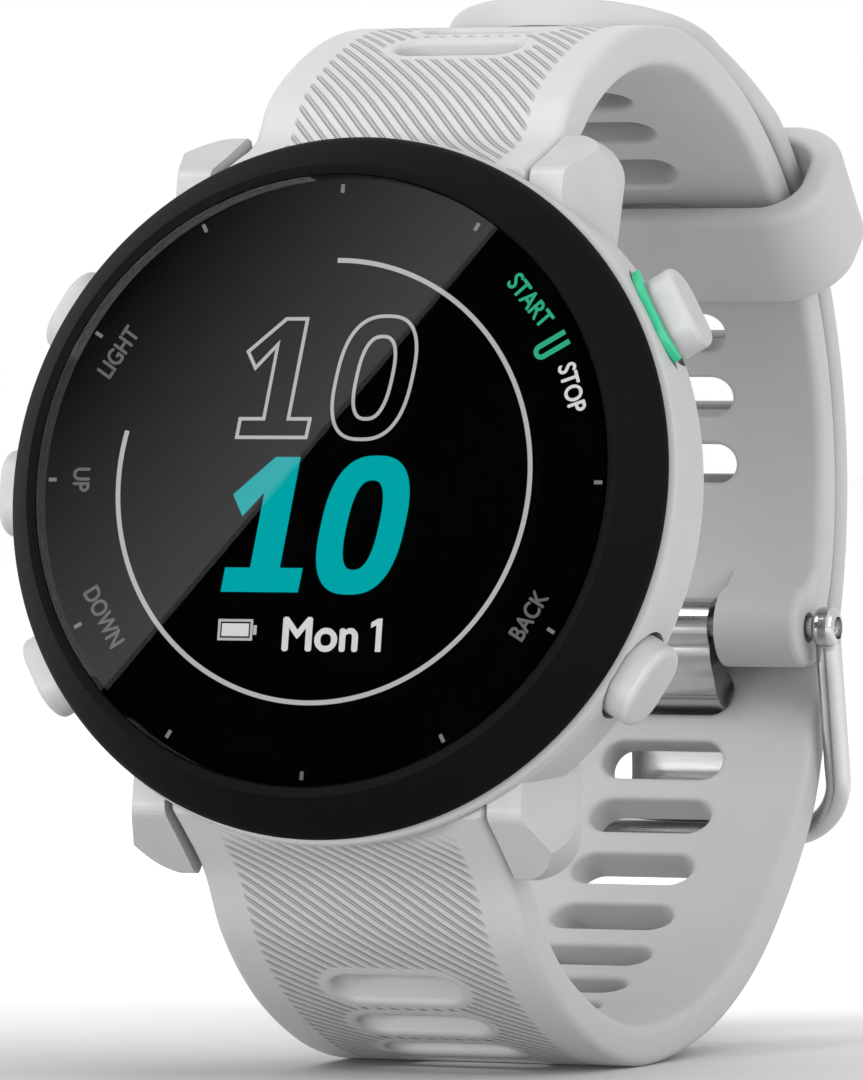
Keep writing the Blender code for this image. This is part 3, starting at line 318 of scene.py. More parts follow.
def lathe(name, profile, steps=256):
    """Closed surface turned round z from (radius, height) points, ends on the axis or joined."""
    builder = bmesh.new()
    rings = []
    for radius, height in profile:
        if radius < 1e-6:
            rings.append([builder.verts.new((0.0, 0.0, height * MM))])
            continue
        turns = [2 * math.pi * i / steps for i in range(steps)]
        rings.append([builder.verts.new((radius * math.cos(a) * MM, radius * math.sin(a) * MM,
                                         height * MM)) for a in turns])
    pairs = list(zip(rings, rings[1:]))
    if len(rings[0]) > 1:
        pairs.append((rings[-1], rings[0]))
    for first, second in pairs:
        for i in range(steps):
            j = (i + 1) % steps
            corners = [first[i % len(first)], second[i % len(second)], second[j % len(second)],
                       first[j % len(first)]]
            unique = list(dict.fromkeys(corners))
            if len(unique) > 2:
                builder.faces.new(unique)
    return mesh_of(builder, name)


def fillet(points, radii, steps=5):
    """Round the corners of an open or closed run of points; radius 0 keeps a corner."""
    result = []
    count = len(points)
    for i, (point, radius) in enumerate(zip(points, radii)):
        here = np.array(point, float)
        if radius == 0:
            result.append(tuple(here))
            continue
        back = unit(np.array(points[i - 1], float) - here)
        ahead = unit(np.array(points[(i + 1) % count], float) - here)
        half = math.acos(max(-1.0, min(1.0, float(back @ ahead)))) / 2
        reach = radius / math.tan(half)
        start, stop = here + back * reach, here + ahead * reach
        for t in np.linspace(0.0, 1.0, steps):
            result.append(tuple((1 - t) ** 2 * start + 2 * t * (1 - t) * here + t * t * stop))
    return result


def arc(radius, start, stop, count, centre=(0.0, 0.0)):
    angles = np.radians(np.linspace(start, stop, count))
    return [(centre[0] + radius * math.cos(a), centre[1] + radius * math.sin(a)) for a in angles]


def circle(radius, centre=(0.0, 0.0), count=24):
    return arc(radius, 0, 360 - 360 / count, count, centre)


def box(left, low, right, high):
    return [(left, low), (right, low), (right, high), (left, high)]


def rounded_bar(half_x, half_y, corner, count=9):
    outline = []
    for side_x, side_y, start in ((1, -1, -90), (1, 1, 0), (-1, 1, 90), (-1, -1, 180)):
        middle = ((half_x - corner) * side_x, (half_y - corner) * side_y)
        outline += arc(corner, start, start + 90, count, middle)
    return outline


def soften(piece, width, segments=3, angle=40.0):
    step = piece.modifiers.new("edges", "BEVEL")
    step.width = width * MM
    step.segments = segments
    step.limit_method = "ANGLE"
    step.angle_limit = math.radians(angle)
    step.harden_normals = False
    return piece


def carve(piece, cutter_mesh, place=None, operation="DIFFERENCE"):
    """Boolean applied at once, so that no cutter is left in the scene."""
    cutter = added("cutter", cutter_mesh)
    cutter.matrix_world = place or Matrix.Identity(4)
    step = piece.modifiers.new("carve", "BOOLEAN")
    step.operation = operation
    step.object = cutter
    step.solver = "EXACT"
    settle(piece)
    bpy.data.objects.remove(cutter, do_unlink=True)
    return piece


def settle(piece):
    """Turn a piece's modifiers into its mesh."""
    fresh = evaluated_mesh(piece)
    piece.modifiers.clear()
    piece.data = fresh


# ------------------------------------------------------------------ strap runs

LUG_REACH = 22.05
SCALLOP_OUT = 17.1
SCALLOP_TOP = 7.4
BAR_OUT = 19.2
BAR_HEIGHT = 3.4
STRAP_HALF = 9.9
TAIL_HALF = 8.7
STRAP_THICK = 2.5
TAIL_THICK = 1.8
LAYER_GAP = 0.4
SLOT_HALF_LENGTH = 4.0
SLOT_HALF_WIDTH = 1.35
SLOT_PITCH = 4.7
FIRST_SLOT = 10.4          # from the buckle end of the short strap
TAIL_FIRST_SLOT = 6.9
TONGUE_DROP = 4.9
TONGUE_HALF = 3.7
SHORT_SLOT_COUNT = 12
LOWER_SLOT_COUNT = 12
TAIL_SLOT_COUNT = 9
TAIL_OVERLAP = 45.0
BUCKLE_Y, BUCKLE_Z = BUCKLE_AXIS = (42.55, -7.8)

SHORT_RUN = ((3.4, 24.3), (7.2, 26.6), (12.0, 28.3), (16.8, 29.0), (22.0, 28.8), (27.0, 27.4),
             (32.0, 25.2), (36.5, 22.2), (40.6, 18.3), (44.0, 13.8), (46.2, 8.8), (47.3, 3.6),
             (47.4, -1.2), (46.8, -4.6), (45.65, -7.6))
LONG_RUN = ((-3.4, -25.1), (0.2, -28.3), (4.4, -30.7), (9.2, -32.5), (14.7, -33.45),
            (20.2, -33.2), (25.2, -32.3), (30.2, -30.6), (34.7, -28.2), (38.7, -25.0),
            (41.7, -22.0), (43.9, -19.1), (45.2, -16.1), (46.1, -13.3), (47.2, -10.4),
            (48.4, -7.4))


def head_to_side(out, height):
    """Point of the head's middle plane as world (Y, Z)."""
    return (out * math.sin(LEAN) - height * math.cos(LEAN),
            out * math.cos(LEAN) + height * math.sin(LEAN))


class Run:
    """A smooth line in the world's side plane, read by its length."""

    def __init__(self, points, inward_sign, step=0.25):
        points = [np.array(p, float) for p in points]
        ends = [2 * points[0] - points[1]] + points + [2 * points[-1] - points[-2]]
        fine = []
        for i in range(1, len(ends) - 2):
            group = ends[i - 1:i + 3]
            knots = np.concatenate([[0.0], np.cumsum([np.linalg.norm(b - a) ** 0.5 for a, b in
                                                      zip(group, group[1:])])])
            for t in np.linspace(knots[1], knots[2], 24, endpoint=False):
                level = group
                while len(level) > 1:
                    level = self.blend(level, knots, t)
                fine.append(level[0])
        fine = np.array(fine + [points[-1]])
        self.lengths = np.concatenate([[0.0], np.cumsum(np.linalg.norm(np.diff(fine, axis=0),
                                                                       axis=1))])
        count = int(self.lengths[-1] / step) + 1
        even = np.linspace(0.0, self.lengths[-1], count)
        self.points = np.column_stack([np.interp(even, self.lengths, fine[:, k]) for k in (0, 1)])
        self.lengths = even
        run = unit(np.gradient(self.points, axis=0))
        self.inward = np.column_stack([-run[:, 1], run[:, 0]]) * inward_sign
        self.length = even[-1]

    @staticmethod
    def blend(group, knots, t):
        """Next level of the curve's pyramid."""
        level = 5 - len(group)
        spans = {1: ((0, 1), (1, 2), (2, 3)), 2: ((0, 2), (1, 3)), 3: ((1, 2),)}[level]
        return [((knots[b] - t) * first + (t - knots[a]) * second) / (knots[b] - knots[a])
                for (a, b), first, second in zip(spans, group, group[1:])]

    def at(self, distance):
        spot = np.column_stack([np.interp(distance, self.lengths, self.points[:, k])
                                for k in (0, 1)])
        inward = np.column_stack([np.interp(distance, self.lengths, self.inward[:, k])
                                  for k in (0, 1)])
        return spot, unit(inward)


def lug_edge(side):
    spots = ((LUG_REACH - 2.95, SCALLOP_TOP - 0.4), (LUG_REACH - 1.9, SCALLOP_TOP - 2.35),
             (LUG_REACH - 0.15, 2.2))
    return [head_to_side(out * side, height) for out, height in spots]


def strap_runs():
    """Outer faces of the short and the long strap."""
    short = Run(lug_edge(1) + list(SHORT_RUN), -1)
    first = short.length - FIRST_SLOT + 5.5
    tail = np.linspace(first, first - TAIL_OVERLAP, 12)
    spots, inward = short.at(tail)
    spots = spots - inward * (LAYER_GAP + TAIL_THICK)
    long = Run(lug_edge(-1) + list(LONG_RUN) + [tuple(p) for p in spots], 1)
    return short, long


def slot_at_tongue(long):
    level = BUCKLE_Z - TONGUE_DROP
    for i in range(1, len(long.points)):
        below, above = long.points[i - 1], long.points[i]
        if below[1] < level <= above[1] and above[0] > BUCKLE_Y:
            share = (level - below[1]) / (above[1] - below[1])
            return long.lengths[i - 1] + share * (long.lengths[i] - long.lengths[i - 1])


# ------------------------------------------------------------------ strap mesh

EDGE = 0.6                 # radius of a strap's long edges
RIM = 0.35                 # radius round a slot's mouth
BLOCK_X = 5.3              # half length of the patch that holds a slot
BLOCK_ROWS = 20            # rows of cells along one slot pitch
BLOCK_COLUMNS = 44
SIDE_COLUMNS = 18
RINGS = 7
TIP_REACH = 4.0


def edge_columns():
    """Share of the half width and sunk depth of the columns outside the slot patch."""
    flat = [(BLOCK_X + (STRAP_HALF - EDGE - BLOCK_X) * i / SIDE_COLUMNS, 0.0)
            for i in range(1, SIDE_COLUMNS + 1)]
    turn = [(STRAP_HALF - EDGE + EDGE * math.sin(a), EDGE * (1 - math.cos(a)))
            for a in np.radians((22.5, 45.0, 67.5, 90.0))]
    return flat + turn


class Sheet:
    """Flat map of a strap face: cells round each slot, even cells elsewhere."""

    def __init__(self, length, slots, tip):
        self.verts = []
        self.faces = []
        self.borders = []
        rows = self.row_places(length, slots, tip)
        side = edge_columns()
        columns = ([(-x, sink) for x, sink in side[::-1]]
                   + [(x, 0.0) for x in np.linspace(-BLOCK_X, BLOCK_X, BLOCK_COLUMNS + 1)] + side)
        left = len(side)
        right = left + BLOCK_COLUMNS
        starts = {self.near(rows, s - SLOT_PITCH / 2): s for s in slots}
        grid = -np.ones((len(rows), len(columns)), int)
        blocked = np.zeros((len(rows), len(columns)), bool)
        for start in starts:
            blocked[start:start + BLOCK_ROWS, left:right] = True
        for j, s in enumerate(rows):
            in_slot_rows = any(start < j < start + BLOCK_ROWS for start in starts)
            for k, (x, sink) in enumerate(columns):
                if not (in_slot_rows and left < k < right):
                    grid[j, k] = self.add(s, x, sink)
        for j in range(len(rows) - 1):
            for k in range(len(columns) - 1):
                if not blocked[j, k]:
                    self.faces.append((grid[j, k], grid[j, k + 1], grid[j + 1, k + 1],
                                       grid[j + 1, k]))
        for start, s in starts.items():
            stop = start + BLOCK_ROWS
            loop = ([grid[start, k] for k in range(left, right)]
                    + [grid[j, right] for j in range(start, stop)]
                    + [grid[stop, k] for k in range(right, left, -1)]
                    + [grid[j, left] for j in range(stop, start, -1)])
            self.add_slot(s, loop)
        last = len(rows) - 1
        self.borders.append([grid[0, k] for k in range(len(columns))]
                            + [grid[j, -1] for j in range(1, len(rows))]
                            + [grid[last, k] for k in range(len(columns) - 2, -1, -1)]
                            + [grid[j, 0] for j in range(last - 1, 0, -1)])

    @staticmethod
    def near(rows, value):
        return int(np.argmin(np.abs(np.array(rows) - value)))

    @staticmethod
    def row_places(length, slots, tip):
        """Rows that meet every slot patch, closer together towards a round tip."""
        step = SLOT_PITCH / BLOCK_ROWS
        first = min(slots) - SLOT_PITCH / 2
        last = max(slots) + SLOT_PITCH / 2
        before = max(2, int(round(first / step)))
        rows = list(np.linspace(0.0, first, before, endpoint=False))
        middle = int(round((last - first) / step))
        rows += list(np.linspace(first, last, middle + 1))
        room = length - last
        if tip:
            reach = min(room, TIP_REACH)
            flat = list(np.linspace(last, length - reach, int((room - reach) / step) + 2))
            rows += flat[1:] + [length - reach * (1 - math.sin(a)) for a in
                                np.linspace(0, math.pi / 2, 40)][1:] if room > 0.5 else []
            return sorted(set(round(r, 5) for r in rows))
        rows += list(np.linspace(last, length, max(2, int(room / step)) + 1))[1:]
        return rows

    def add(self, s, x, sink):
        self.verts.append((s, x, sink))
        return len(self.verts) - 1

    def add_slot(self, s, loop):
        reach = SLOT_HALF_LENGTH - SLOT_HALF_WIDTH
        outer = np.array([self.verts[i][:2] for i in loop])
        middle = np.column_stack([np.full(len(loop), s), np.clip(outer[:, 1], -reach, reach)])
        away = unit(outer - middle)
        rim = middle + away * (SLOT_HALF_WIDTH + RIM)
        rings = [loop]
        for i in range(1, RINGS + 1):
            share = i / RINGS
            spots = outer * (1 - share) + rim * share
            rings.append([self.add(a, b, 0.0) for a, b in spots])
        for angle in np.radians((30.0, 60.0, 90.0)):
            spots = middle + away * (SLOT_HALF_WIDTH + RIM * (1 - math.sin(angle)))
            rings.append([self.add(a, b, RIM * (1 - math.cos(angle))) for a, b in spots])
        count = len(loop)
        for outer_ring, inner_ring in zip(rings, rings[1:]):
            for i in range(count):
                j = (i + 1) % count
                self.faces.append((outer_ring[i], outer_ring[j], inner_ring[j], inner_ring[i]))
        self.borders.append(rings[-1])


def slot_distance(s, x, slots):
    """Distance outside the nearest slot's wall."""
    reach = SLOT_HALF_LENGTH - SLOT_HALF_WIDTH
    nearest = np.full(len(s), 99.0)
    over = np.maximum(np.abs(x) - reach, 0.0)
    for centre in slots:
        nearest = np.minimum(nearest, np.hypot(s - centre, over) - SLOT_HALF_WIDTH)
    return nearest


END_LENGTH = 9.0           # lug end of a strap, whose inner face runs round the spring bar
END_LEAD = 0.8
GROOVE_HALF_FIELD = 7.5    # ribs end this far from the strap's middle line
GROOVE_SLOT_MARGIN = 0.75  # and this far from a slot
UPPER_RIBS = (1.12, 1.07)  # slope across the strap and pitch along it
LOWER_RIBS = (-0.9, 0.84)


def strap_mesh(name, run, slots, half_at, thick_at, inner_start, tip, groove_from, groove_to,
               ribs):
    sheet = Sheet(run.length, slots, tip)
    flat = np.array(sheet.verts)
    s, x, sink = flat.T
    width = half_at(s) / STRAP_HALF
    spot, inward = run.at(s)
    inner_spot = spot + inward * thick_at(s)[:, None]
    inner_in = inward.copy()
    joins = np.array([END_LENGTH, END_LENGTH + END_LEAD])
    join_spot, join_in = run.at(joins)
    join_spot = join_spot + join_in * thick_at(joins)[:, None]
    start_run = Run(inner_start + [tuple(p) for p in join_spot], 1, 0.1)
    near = s < END_LENGTH
    along = s[near] / END_LENGTH * (start_run.length - END_LEAD)
    turned_spot, turned_in = start_run.at(along)
    inner_spot[near] = turned_spot
    reverse = np.sign(np.sum(start_run.at(np.array([start_run.length - 1.0]))[1]
                             * join_in[:1]))
    inner_in[near] = turned_in * reverse
    outer_side = spot + inward * sink[:, None]
    inner_side = inner_spot - inner_in * sink[:, None]
    across = x * width
    count = len(flat)
    points = np.column_stack([np.tile(across, 2), np.concatenate([outer_side, inner_side])])
    faces = list(sheet.faces) + [tuple(i + count for i in face[::-1]) for face in sheet.faces]
    for border in sheet.borders:
        for i, first in enumerate(border):
            second = border[(i + 1) % len(border)]
            faces.append((first, second, second + count, first + count))
    mesh = bpy.data.meshes.new(name)
    mesh.from_pydata(points * MM, [], faces)
    mesh.validate()
    away = slot_distance(s, x, slots)
    # Mask of the ribbed field: it sets the ribs' bump and the painted shade in the grooves.
    mask = (np.clip((away - GROOVE_SLOT_MARGIN) / 0.3, 0, 1)
            * np.clip((GROOVE_HALF_FIELD - np.abs(x)) / 0.25, 0, 1)
            * np.clip((s - groove_from) / 2.0, 0, 1) * np.clip((groove_to - s) / 0.3, 0, 1))
    mask[sink > 0.01] = 0.0
    slope, pitch = ribs
    for label, values in (("groove", np.concatenate([mask, np.zeros(count)])),
                          ("slant", np.tile((s + slope * across) / pitch, 2))):
        mesh.attributes.new(label, "FLOAT", "POINT").data.foreach_set("value", values)
    builder = bmesh.new()
    builder.from_mesh(mesh)
    bmesh.ops.recalc_face_normals(builder, faces=builder.faces)
    builder.to_mesh(mesh)
    builder.free()
    return mesh


def lug_end_inside(side):
    """Inner outline of a strap's lug end, from the dial side round the spring bar."""
    spots = (((SCALLOP_OUT + 0.3) * side, SCALLOP_TOP - 0.4),
             ((SCALLOP_OUT + 0.3) * side, BAR_HEIGHT - 0.3),
             ((BAR_OUT - 0.9) * side, BAR_HEIGHT - 1.75),
             ((BAR_OUT + 0.6) * side, BAR_HEIGHT - 1.9))
    return [head_to_side(out, height) for out, height in spots]


def thickness(thin, taper_from):
    def at(s):
        fade = np.clip(1.0 - (s - 4.0) / 14.0, 0.0, 1.0)
        late = np.clip((s - taper_from) / 6.0, 0.0, 1.0)
        return STRAP_THICK + 1.1 * fade * fade + (thin - STRAP_THICK) * late
    return at


SHORT, LONG = strap_runs()
TONGUE_AT = slot_at_tongue(LONG)
SHORT_SLOTS = [SHORT.length - FIRST_SLOT - SLOT_PITCH * i for i in range(SHORT_SLOT_COUNT)]
LONG_SLOTS = ([TONGUE_AT + SLOT_PITCH * i for i in range(-LOWER_SLOT_COUNT, 1)]
              + [TONGUE_AT + TAIL_FIRST_SLOT + SLOT_PITCH * i for i in range(TAIL_SLOT_COUNT)])


def full_width(s):
    return np.full(len(s), STRAP_HALF)


def tail_width(s):
    """Narrows to the tail's width and then to a round tip."""
    left = LONG.length - s
    body = TAIL_HALF + (STRAP_HALF - TAIL_HALF) * np.clip((left - 9.0) / 8.0, 0.0, 1.0)
    near = np.clip(left, 0.0, TAIL_HALF)
    tip = np.sqrt(np.maximum(TAIL_HALF ** 2 - (TAIL_HALF - near) ** 2, 0.0))
    return np.where(left < TAIL_HALF, np.maximum(tip, 0.05), body)


def make_straps():
    upper = strap_mesh("upper_strap_skin", SHORT, SHORT_SLOTS, full_width,
                       thickness(STRAP_THICK * 1.1, SHORT.length - 12), lug_end_inside(1), False,
                       0.0, SHORT.length - 6.0, UPPER_RIBS)
    lower = strap_mesh("lower_strap_skin", LONG, LONG_SLOTS, tail_width,
                       thickness(TAIL_THICK, TONGUE_AT - 4), lug_end_inside(-1), True,
                       1.5, LONG.length - 9.0, LOWER_RIBS)
    for mesh, body in ((upper, "upper_strap"), (lower, "lower_strap")):
        show(body + "_skin", mesh, "strap", body, smooth=60, replaces=(body,))


KNUCKLE_RADIUS = 2.5
NOTCH_HALF = 4.4


def pin_round(name, radius, low, high, count=48):
    """Cylinder round the buckle's axis, between two places along it."""
    return extrude(name, circle(radius, BUCKLE_AXIS, count), low, high, "YZX")


def make_knuckle():
    """Buckle end of the short strap: a round eye with a notch for the tongue."""
    centre = np.array(BUCKLE_AXIS)
    face, inward = SHORT.at(np.array([SHORT.length - 5.0, SHORT.length - 2.5, SHORT.length]))
    lower = arc(KNUCKLE_RADIUS, -10, -90, 7, tuple(centre + (0.6, 0.0)))
    front = arc(KNUCKLE_RADIUS, -95, -265, 14, BUCKLE_AXIS)
    top = [tuple(face[0] + inward[0] * 1.2)]
    outline = [tuple(p + d * 0.12) for p, d in zip(face, inward)] + lower + front + top
    half = STRAP_HALF - 0.05
    knuckle = show("strap_knuckle", extrude("strap_knuckle", outline, -half, half, "YZX"),
                   "smooth", "upper_strap", smooth=50)
    soften(knuckle, 0.45, 3, 60)
    settle(knuckle)
    carve(knuckle, extrude("notch", box(-NOTCH_HALF, 36.5, NOTCH_HALF, 49.5), -13.8, -3.9))
    carve(knuckle, pin_round("hole", 0.95, -12, 12))


# ------------------------------------------------------------------ keeper


KEEPER_FROM_BAR = 27.6
KEEPER_SLACK = 0.8
KEEPER_SIDE_SLACK = 1.2
KEEPER_WALL = 1.6
KEEPER_SIDE = 2.0
KEEPER_HALF_HEIGHT = 3.5


def make_keeper():
    spot, inward = SHORT.at(np.array([SHORT.length - KEEPER_FROM_BAR]))
    outward = -inward[0]
    middle = spot[0] + outward * (LAYER_GAP + TAIL_THICK - STRAP_THICK) / 2
    across = Vector((1.0, 0.0, 0.0))
    out = Vector((0.0, *outward))
    place = Matrix((across, out, across.cross(out))).transposed().to_4x4()
    place.translation = Vector((0.0, *(middle * MM)))
    half_x = STRAP_HALF + KEEPER_SIDE_SLACK
    half_y = (STRAP_THICK + LAYER_GAP + TAIL_THICK) / 2 + KEEPER_SLACK
    builder = bmesh.new()
    outer = rounded_bar(half_x + KEEPER_SIDE, half_y + KEEPER_WALL, 4.0, 12)
    inner = rounded_bar(half_x, half_y, 2.4, 12)
    loops = []

    def loop(outline, inset_by, level):
        """Ring of points at one height, moved in from the outline by an even width."""
        made = []
        for i, point in enumerate(outline):
            run = np.array(outline[(i + 1) % len(outline)]) - np.array(outline[i - 1])
            normal = unit(np.array((run[1], -run[0])))
            x, y = np.array(point) - normal * inset_by
            made.append(builder.verts.new((x * MM, y * MM, level * MM)))
        return made

    def rim(outline, edge, side, inward, angles):
        """Loops round one rounded rim of the band, on its outer or its inner wall."""
        for a in np.radians(angles):
            loops.append(loop(outline, inward * edge * (1 - math.sin(a)),
                              side * (KEEPER_HALF_HEIGHT - edge + edge * math.cos(a))))

    rim(outer, 0.8, 1, 1, np.linspace(0, 90, 6))
    rim(outer, 0.8, -1, 1, np.linspace(90, 0, 6))
    rim(inner, 0.5, -1, -1, np.linspace(0, 90, 5))
    rim(inner, 0.5, 1, -1, np.linspace(90, 0, 5))
    count = len(outer)
    for first, second in zip(loops, loops[1:] + loops[:1]):
        for i in range(count):
            j = (i + 1) % count
            builder.faces.new((first[i], second[i], second[j], first[j]))
    show("keeper_loop", mesh_of(builder, "keeper_loop"), "smooth", "keeper", place, 60,
         replaces=("keeper",))


# ------------------------------------------------------------------ head


DIAL_LEVEL = 10.5
GLASS_TOP = 11.55
GLASS_RADIUS = 17.93
DISPLAY_RADIUS = 17.75


def make_head():
    bezel = [
        (17.95, 9.5), (17.95, 11.2), (18.05, 11.45), (18.3, 11.55), (18.6, 11.5),
        (20.3, 9.62), (20.5, 9.3), (20.62, 9.05), (20.7, 8.8), (20.7, 8.6), (20.4, 8.35),
        (16.4, 8.35), (16.4, 9.5)]
    show("bezel_ring", lathe("bezel_ring", bezel), "bezel", "case", HEAD, 30,
         replaces=("bezel",))
    lens = [(0.0, GLASS_TOP), (GLASS_RADIUS, GLASS_TOP), (GLASS_RADIUS, 10.6), (0.0, 10.6)]
    show("lens_plate", lathe("lens_plate", lens), "glass", "case", HEAD, 10, replaces=("lens",))
    dial = [(0.0, 10.35), (DISPLAY_RADIUS, 10.35), (DISPLAY_RADIUS, 9.6), (0.0, 9.6)]
    show("dial_face", lathe("dial_face", dial, 128), "dial", "case", HEAD, 30,
         replaces=("display_panel", "lens_gasket"))


def flat_shape(name, outlines, look):
    """Thin ink shape on the dial from closed outlines; later outlines cut holes in the first."""
    curve = bpy.data.curves.new(name, "CURVE")
    curve.dimensions = "2D"
    curve.fill_mode = "BOTH"
    curve.extrude = 0.02 * MM
    for outline in outlines:
        spline = curve.splines.new("POLY")
        spline.points.add(len(outline) - 1)
        for point, (x, y) in zip(spline.points, outline):
            point.co = (x * MM, y * MM, 0.0, 1.0)
        spline.use_cyclic_u = True
    place = HEAD @ Matrix.Translation((0.0, 0.0, DIAL_LEVEL * MM))
    return show(name, flattened(name + "_curve", curve), look, "case", place, 30)


LETTER_SQUEEZE = 0.8


def band(points, width):
    """Closed outline of a line of even width."""
    path = np.array(points, float)
    run = unit(np.gradient(path, axis=0))
    normal = np.column_stack([-run[:, 1], run[:, 0]]) * width / 2
    return [tuple(p) for p in path + normal] + [tuple(p) for p in (path - normal)[::-1]]


def words(name, text, height, centre, turn, look, bold, width=None):
    """Flat letters of a given capital height, made bolder by copies shifted by bold."""
    curve = bpy.data.curves.new(name, "FONT")
    curve.body = text
    curve.size = 10.0
    curve.resolution_u = 6
    mesh = flattened(name + "_text", curve)
    spots = np.array([v.co for v in mesh.vertices])
    low, high = spots.min(0), spots.max(0)
    tall = height * MM / (high[1] - low[1])
    wide = width * MM / (high[0] - low[0]) if width else tall * LETTER_SQUEEZE
    mesh.transform(Matrix.Diagonal((wide, tall, 1.0, 1.0))
                   @ Matrix.Translation((-(low[0] + high[0]) / 2, -(low[1] + high[1]) / 2, 0.0)))
    shifts = ((bold, 0.0), (-bold, 0.0), (0.0, bold), (0.0, -bold))
    mesh = joined([(mesh, Matrix.Translation((x * MM, y * MM, 0.003 * MM * i)))
                   for i, (x, y) in enumerate(shifts)])
    place = (HEAD @ Matrix.Translation((centre[0] * MM, centre[1] * MM, DIAL_LEVEL * MM))
             @ Matrix.Rotation(math.radians(turn), 4, "Z"))
    return show(name, mesh, look, "case", place, 30)


def slanted_one(low, high, left, right):
    """Digit one in a leaning heavy style, fitted to a box."""
    shape = [(0.56, 1.0), (0.86, 1.0), (0.70, 0.18), (0.98, 0.18), (0.94, 0.0), (0.0, 0.0),
             (0.035, 0.18), (0.34, 0.18), (0.45, 0.74), (0.2, 0.56), (0.07, 0.72)]
    return [(left + (right - left) * a, low + (high - low) * b) for a, b in shape]


def slanted_oval(low, high, left, right, lean=0.16, count=64, square=2.6):
    """Leaning rounded oval: the outline of a zero."""
    outline = []
    centre_x, centre_y = (left + right) / 2, (low + high) / 2
    half_x, half_y = (right - left) / 2, (high - low) / 2
    half_x -= half_y * lean * 0.55
    for i in range(count):
        angle = 2 * math.pi * i / count
        c, s = math.cos(angle), math.sin(angle)
        x = half_x * math.copysign(abs(c) ** (2 / square), c)
        y = half_y * math.copysign(abs(s) ** (2 / square), s)
        outline.append((centre_x + x + y * lean, centre_y + y))
    return outline


def inset(outline, width):
    """Outline moved inwards by an even width (outline runs anticlockwise or clockwise)."""
    path = np.array(outline, float)
    area = 0.5 * np.sum(path[:, 0] * np.roll(path[:, 1], -1) - np.roll(path[:, 0], -1) * path[:, 1])
    sign = 1.0 if area > 0 else -1.0
    result = []
    for i, point in enumerate(path):
        first = unit(point - path[i - 1])
        second = unit(path[(i + 1) % len(path)] - point)
        n1 = np.array((-first[1], first[0])) * sign
        n2 = np.array((-second[1], second[0])) * sign
        bisector = n1 + n2
        bisector /= max(np.linalg.norm(bisector), 1e-6)
        reach = width / max(float(bisector @ n1), 0.35)
        result.append(tuple(point + bisector * reach))
    return result


ARC_RADIUS, ARC_SWEEP = 13.0, 283.0
LINE_WIDTH = 0.2


def make_dial():
    sweep = arc(ARC_RADIUS, 90.0, 90.0 - ARC_SWEEP, 140)
    flat_shape("progress_arc", [band(sweep, 0.28)], "grey_ink")
    for hour in range(12):
        if hour == 2:
            continue
        angle = 90.0 - 30.0 * hour
        inner, outer = arc(17.0, angle, angle, 1)[0], arc(17.5, angle, angle, 1)[0]
        flat_shape("hour_tick_%d" % hour, [band([inner, outer], 0.22)],
                   "tick_ink" if hour != 6 else "dim_ink")
    one = slanted_one(2.45, 9.65, -5.75, -0.85)
    zero = slanted_oval(2.35, 9.8, 0.0, 5.65)
    hole = slanted_oval(3.75, 8.4, 1.6, 4.05)
    flat_shape("hour_one", [one, inset(one, LINE_WIDTH)], "grey_ink")
    flat_shape("hour_zero_outer", [zero, inset(zero, LINE_WIDTH)], "grey_ink")
    flat_shape("hour_zero_inner", [inset(hole, -LINE_WIDTH), hole], "grey_ink")
    flat_shape("minute_one", [slanted_one(-6.55, 1.4, -5.95, -0.75)], "teal_ink")
    flat_shape("minute_zero", [slanted_oval(-6.65, 1.5, -0.25, 5.75),
                               slanted_oval(-5.2, 0.05, 1.5, 4.0)], "teal_ink")
    words("date_text", "Mon", 1.9, (0.55, -9.0), 0, "white_ink", 0.07, 4.65)
    flat_shape("date_one", [[(4.06, -9.97), (4.4, -9.97), (4.4, -8.03), (4.14, -8.03),
                             (3.72, -8.27), (3.72, -8.58), (4.06, -8.4)]], "white_ink")
    flat_shape("battery_outline", [box(-5.95, -9.4, -3.75, -8.15), box(-5.8, -9.25, -3.9, -8.3)],
               "grey_ink")
    flat_shape("battery_fill", [box(-5.7, -9.15, -4.0, -8.4)], "white_ink")
    flat_shape("battery_tip", [box(-3.7, -9.05, -3.5, -8.5)], "grey_ink")
    for name, text, centre, turn, look, height in (
            ("light_label", "LIGHT", (-13.6, 7.6), 57, "dim_ink", 1.03),
            ("up_label", "UP", (-15.4, 0.0), -90, "dim_ink", 1.03),
            ("down_label", "DOWN", (-13.3, -8.1), -58, "dim_ink", 1.03),
            ("start_label", "START", (12.3, 10.6), -49, "green_ink", 1.08),
            ("stop_label", "STOP", (15.25, 5.5), -71, "white_ink", 1.08),
            ("back_label", "BACK", (13.5, -7.75), 60, "dim_ink", 1.03)):
        words(name, text, height, centre, turn, look, 0.035)
    along = math.radians(-60)
    centre = np.array((13.95, 8.05))
    forward = np.array((math.cos(along), math.sin(along)))
    out = np.array((-forward[1], forward[0]))
    link = [centre + out * t * 1.2 + forward * 0.32 for t in (0.75, 0.0, -0.75)]
    bend = [centre - out * 0.9 + forward * 0.32 * math.cos(a) - out * 0.32 * math.sin(a)
            for a in np.linspace(0, math.pi, 8)]
    other = [centre + out * t - forward * 0.32 for t in (-0.75, 0.0, 0.9)]
    flat_shape("start_stop_link", [band(link + bend + other, 0.3)], "green_ink")


BUTTONS = {"start": 30.0, "back": -30.0, "light": 150.0, "up": 180.0, "down": 210.0}


def radial(angle, height):
    """Place at the head's axis with x along the rim, y up and z out through a button."""
    turn = math.radians(angle)
    outward = Vector((math.cos(turn), math.sin(turn), 0.0))
    along = Vector((-math.sin(turn), math.cos(turn), 0.0))
    up = Vector((0.0, 0.0, 1.0))
    turned = Matrix((along, up, outward)).transposed().to_4x4()
    return HEAD @ turned @ Matrix.Translation((0.0, height * MM, 0.0))


